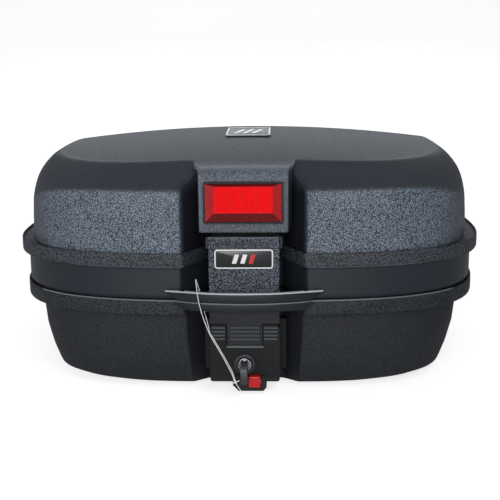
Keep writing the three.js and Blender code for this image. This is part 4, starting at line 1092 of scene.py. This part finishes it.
def bow_in(x):
    ax = np.abs(x)
    return np.where(ax < 70, -209.5 - 13.5 * (1 - np.minimum(ax / 70, 1) ** 2.4), -209.5 + (ax - 70) / 18 * 2.1)


def bar_loop(x, yf, yb, z0, z1, r):
    r = min(r, (z1 - z0) * 0.45, (yb - yf) * 0.45)
    q = rounded_poly([(yf, z0), (yb, z0), (yb, z1), (yf, z1)], r, 4)
    return np.column_stack([np.full(len(q), x), q[:, 0], q[:, 1]])


B = Build()
secs = []
for x in np.concatenate([[-88], np.linspace(-87.6, 87.6, 89), [88]]):
    k = min(max((abs(x) - 70) / 18, 0), 1)
    z0 = 109.0 + 8.2 * k * k * (3 - 2 * k)
    z1 = 120.5 - 0.6 * k
    yf = min(float(bow_out(x)) + 0.9 * (1 - k), float(bow_in(x)) - 1.4)
    yb = float(bow_in(x))
    if abs(x) >= 88:
        z0, z1, yf, yb = z0 + 0.5, z1 - 0.5, yf + 0.4, yb - 0.4
    secs.append(bar_loop(x, yf, yb, z0, z1, 1.3))
B.loft(secs, 0)
n_up = len(B.f)
secs = []
for x in np.concatenate([[-73.6], np.linspace(-73.2, 73.2, 81), [73.6]]):
    k = min(max((abs(x) - 62) / 11.6, 0), 1)
    yf, yb = float(bow_out(x)) + 0.6 * k, float(bow_in(x)) - 0.1
    secs.append(bar_loop(x, yf, yb, 99.6 + 2.4 * k * k, 109.4, 1.1))
B.loft(secs, 0)
for q in (-1, 1):
    B.plate(rect(2.6, 101.4, 107.8, 0.8, 4, q * 70.8), -212.0, -208.3, 0.3, 2, 0)
# painted highlights: the two long front edges are coloured lighter where they catch the light
for i, f in enumerate(B.f):
    if len(f) != 4:
        continue
    c = np.mean([B.v[k] for k in f], 0)
    front_side = c[1] < float(bow_in(c[0])) - 1.0
    if i < n_up and c[2] > 118.9 and front_side and c[1] < float(bow_out(c[0])) + 4.5:
        B.m[i] = 1
    elif i >= n_up and 108.4 < c[2] < 109.5 and front_side and c[1] < float(bow_out(c[0])) + 1.3:
        B.m[i] = 2
B.make("carry_handle_bow", ["gloss2", "edge", "edge2"], "base", ("carry_handle",), 40)

# ---- cord of the key tag: a closed loop over the handle whose two strands run down to the tag's bar
front = [(-50.9, -226.4, 127), (-49.8, -227.4, 118), (-48, -228.4, 108), (-43.5, -229.4, 92), (-38.0, -229.8, 77.5), (-35, -230.2, 71), (-24, -232.4, 52), (-14.5, -236.8, 35), (-9.8, -240.2, 25.5)]
rear = [(-37.2, -229.2, 77), (-39.0, -226.5, 84), (-41.6, -221.0, 92), (-44.4, -216.6, 100), (-47.0, -214.6, 110), (-49.2, -213.8, 121), (-51.2, -215.6, 130), (-52.2, -219.4, 134.9), (-51.8, -223.8, 133.2)]
down = [(-8.9, -240.6, 24.6), (-13.2, -236.4, 35.6), (-22.9, -232.0, 52.6), (-33.9, -229.8, 71.4)]
B = Build()
B.tube(spline(down + rear + front, 9), 0.42, 8, 0)
B.tube(spline([(-9.4, -240.4, 25.2), (-8.0, -241.2, 22.2), (-6.0, -241.6, 18.6), (-3.6, -242.0, 15.2), (-1.5, -242.2, 12.4)], 7), 0.5, 8, 0)
# barbed bar and collar
B.tube(spline([(-12.2, -240.6, 22.6), (-9.4, -241.0, 23.8), (-6.4, -241.2, 25.2), (-4.9, -241.3, 25.9)], 5), 0.62, 8, 0)
B.tube(spline([(-10.6, -240.0, 27.4), (-9.2, -240.7, 24.4), (-8.4, -241.1, 22.6)], 5), 1.05, 10, 0)
B.make("key_tag_loop", ["cord"], "base", ("key_tag_cord",), 50)

# ---- spring of the release button
a = np.linspace(0, 5 * 2 * math.pi, 5 * 20 + 1)
B = Build()
B.tube(np.column_stack([10.8 + 3.4 * np.cos(a), np.linspace(-195, -172, len(a)), 14.8 + 3.4 * np.sin(a)]), 0.5, 8, 0)
spring = B.make("button_coil", ["steel"], "base", ("button_spring",), 60)
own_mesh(spring)

# ---- feet: rubber pads with a groove and a dished middle
for i, (fx, fy) in enumerate([(-150, -95), (150, -95), (-150, 130), (150, 130)]):
    prof = [(0.3, -2.5), (3.0, -2.55), (4.2, -3.2), (5.0, -3.3), (7.0, -3.3), (7.5, -2.8), (8.0, -2.8), (8.5, -3.3), (9.8, -3.3), (10.6, -2.95), (11.0, -2.3), (11.0, -0.9), (10.8, -0.3), (0.3, -0.3)]
    n = 36
    secs = [[(fx + r * math.cos(t), fy + r * math.sin(t), z) for t in np.arange(n) * 2 * math.pi / n] for r, z in prof]
    B = Build()
    B.loft(secs, 0)
    B.make(f"foot_{i + 1}", ["rubber"], "base", (f"foot_pad_{i + 1}",), 40)

# =====================================================================  carried-over CAD nodes
def finish_cad(name, mat, bevel=0.4, angle=28):
    o = CAD[name]
    o.data.materials.clear()
    o.data.materials.append(MAT[mat])
    w = o.modifiers.new("weld", "WELD")
    w.merge_threshold = 1e-5
    if bevel:
        b = o.modifiers.new("bevel", "BEVEL")
        b.width = bevel / 1000
        b.segments = 2
        b.limit_method = "ANGLE"
        b.angle_limit = math.radians(angle)
        b.harden_normals = False
    return o


CARRIED = {
    "steel": (0.35, ["striker", "lock_bolt", "lock_cam", "release_catch", "lock_backplate", "hinge_pin_left", "hinge_pin_right", "plate_hook_left", "plate_hook_right"]),
    "zinc": (0.35, ["lock_barrel", "lock_plug", "key_blade", "lock_nut"]),
    # painted shade: the flap pin and the bracket screws, metal parts, take the black fittings plastic so they stay dark
    # in the shaded gap above and beside the flap
    "fit": (0.35, ["flap_pin", "bracket_screw_left", "bracket_screw_right"]),
    "bow": (0.5, ["lock_bezel"]),
    "fitting": (0.6, ["flap_bracket", "hinge_base_leaf_left", "hinge_base_leaf_right", "hinge_lid_leaf_left", "hinge_lid_leaf_right"]),
    "house": (0.8, ["lock_housing"]),
    "flap": (0.7, ["latch_flap"]),
    "grip": (1.7, ["key_bow"]),
    "red": (0.5, ["release_button"]),
}
REPLACED = {"lid_shell", "lid_ring", "base_shell", "rim_seal", "reflector_lens", "reflector_tray", "flap_badge", "lid_badge", "carry_handle", "key_tag_cord", "button_spring", "foot_pad_1", "foot_pad_2", "foot_pad_3", "foot_pad_4"}
done = set()
for mat, (width, names) in CARRIED.items():
    for n in names:
        finish_cad(n, mat, width)
        done.add(n)
for n in CAD:
    if n not in done and n not in REPLACED:
        finish_cad(n, "steel", 0.0 if n == "flap_spring" else 0.25)

# =====================================================================  stage, light, camera
def studio():
    floor_mat, nt, bsdf = new_mat("floor_pale")
    vec = coords(nt)
    nt.links.new(ramp(nt, noise(nt, vec, 3.0, 2.0), 0.3, 0.7, (0.86, 0.86, 0.86), (0.90, 0.90, 0.90)), bsdf.inputs["Base Color"])
    bsdf.inputs["Roughness"].default_value = 0.7
    bsdf.inputs["Specular IOR Level"].default_value = 0.2
    bsdf.inputs["Emission Color"].default_value = (1, 1, 1, 1)
    ray = nt.nodes.new("ShaderNodeLightPath")
    nt.links.new(maprange(nt, ray.outputs["Is Camera Ray"], 0.0, 1.0, 0.0, 0.72), bsdf.inputs["Emission Strength"])
    me = bpy.data.meshes.new("floor")
    # a sweep: level floor that curves up behind the object
    xs = np.linspace(-4.5, 4.5, 13)
    prof = [(-4.5, 0.0), (-1.5, 0.0), (0.0, 0.0), (1.6, 0.0)] + [(1.6 + 1.6 * math.sin(a), 1.6 - 1.6 * math.cos(a)) for a in np.linspace(0.1, math.pi / 2, 14)] + [(3.2, 4.5)]
    verts = [(x, y, z - 0.0004) for (y, z) in prof for x in xs]
    n = len(xs)
    faces = [(i * n + j, i * n + j + 1, (i + 1) * n + j + 1, (i + 1) * n + j) for i in range(len(prof) - 1) for j in range(n - 1)]
    me.from_pydata(verts, [], faces)
    me.materials.append(floor_mat)
    me.shade_smooth()
    o = bpy.data.objects.new("floor", me)
    bpy.context.scene.collection.objects.link(o)

    world = bpy.data.worlds.new("studio")
    bpy.context.scene.world = world
    world.use_nodes = True
    bg = world.node_tree.nodes["Background"]
    bg.inputs[0].default_value = (1, 1, 1, 1)
    bg.inputs[1].default_value = 0.12
    # the backdrop beyond the sweep reads as white to the camera and stays dim for reflections
    wn, wl = world.node_tree.nodes, world.node_tree.links
    seen = wn.new("ShaderNodeBackground")
    seen.inputs[1].default_value = 1.0
    path, mixer = wn.new("ShaderNodeLightPath"), wn.new("ShaderNodeMixShader")
    wl.new(path.outputs["Is Camera Ray"], mixer.inputs[0])
    wl.new(bg.outputs[0], mixer.inputs[1])
    wl.new(seen.outputs[0], mixer.inputs[2])
    wl.new(mixer.outputs[0], wn["World Output"].inputs[0])

    def area(name, loc, target, size, power, size_y=None, color=(1, 1, 1)):
        d = bpy.data.lights.new(name, "AREA")
        d.shape = "RECTANGLE"
        d.size = size
        d.size_y = size_y or size
        d.energy = power
        d.color = color
        l = bpy.data.objects.new(name, d)
        l.location = loc
        l.rotation_euler = (Vector(target) - Vector(loc)).to_track_quat("-Z", "Y").to_euler()
        bpy.context.scene.collection.objects.link(l)

    area("front", (-0.25, -2.5, 0.62), (0, 0, 0.16), 2.2, 34, 1.1)
    area("key", (0.8, -1.7, 1.7), (0, 0, 0.15), 1.2, 9)
    area("rear", (0.0, 2.3, 1.35), (0, 0.0, 0.25), 2.6, 11, 1.0, (0.86, 0.93, 1.0))
    area("left", (-2.2, -0.3, 0.8), (0, 0, 0.12), 1.2, 5)


studio()

cam_data = bpy.data.cameras.new("camera")
cam_data.sensor_width = 36.0
cam_data.lens = 885.755 * 36.0 / 500.0
cam_data.clip_start = 0.05
cam_data.clip_end = 20
cam = bpy.data.objects.new("camera", cam_data)
cam.location = M((41.33, -1160.573, 364.069))
yaw, pitch, roll = math.radians(2.053), math.radians(11.789), math.radians(0.58)
look = Vector((-math.sin(yaw) * math.cos(pitch), math.cos(yaw) * math.cos(pitch), -math.sin(pitch)))
cam.rotation_euler = (look.to_track_quat("-Z", "Y").to_matrix() @ Matrix.Rotation(-roll, 3, "Z")).to_euler()
bpy.context.scene.collection.objects.link(cam)
bpy.context.scene.camera = cam
bpy.context.scene.view_settings.view_transform = "Standard"
bpy.context.scene.view_settings.look = "None"
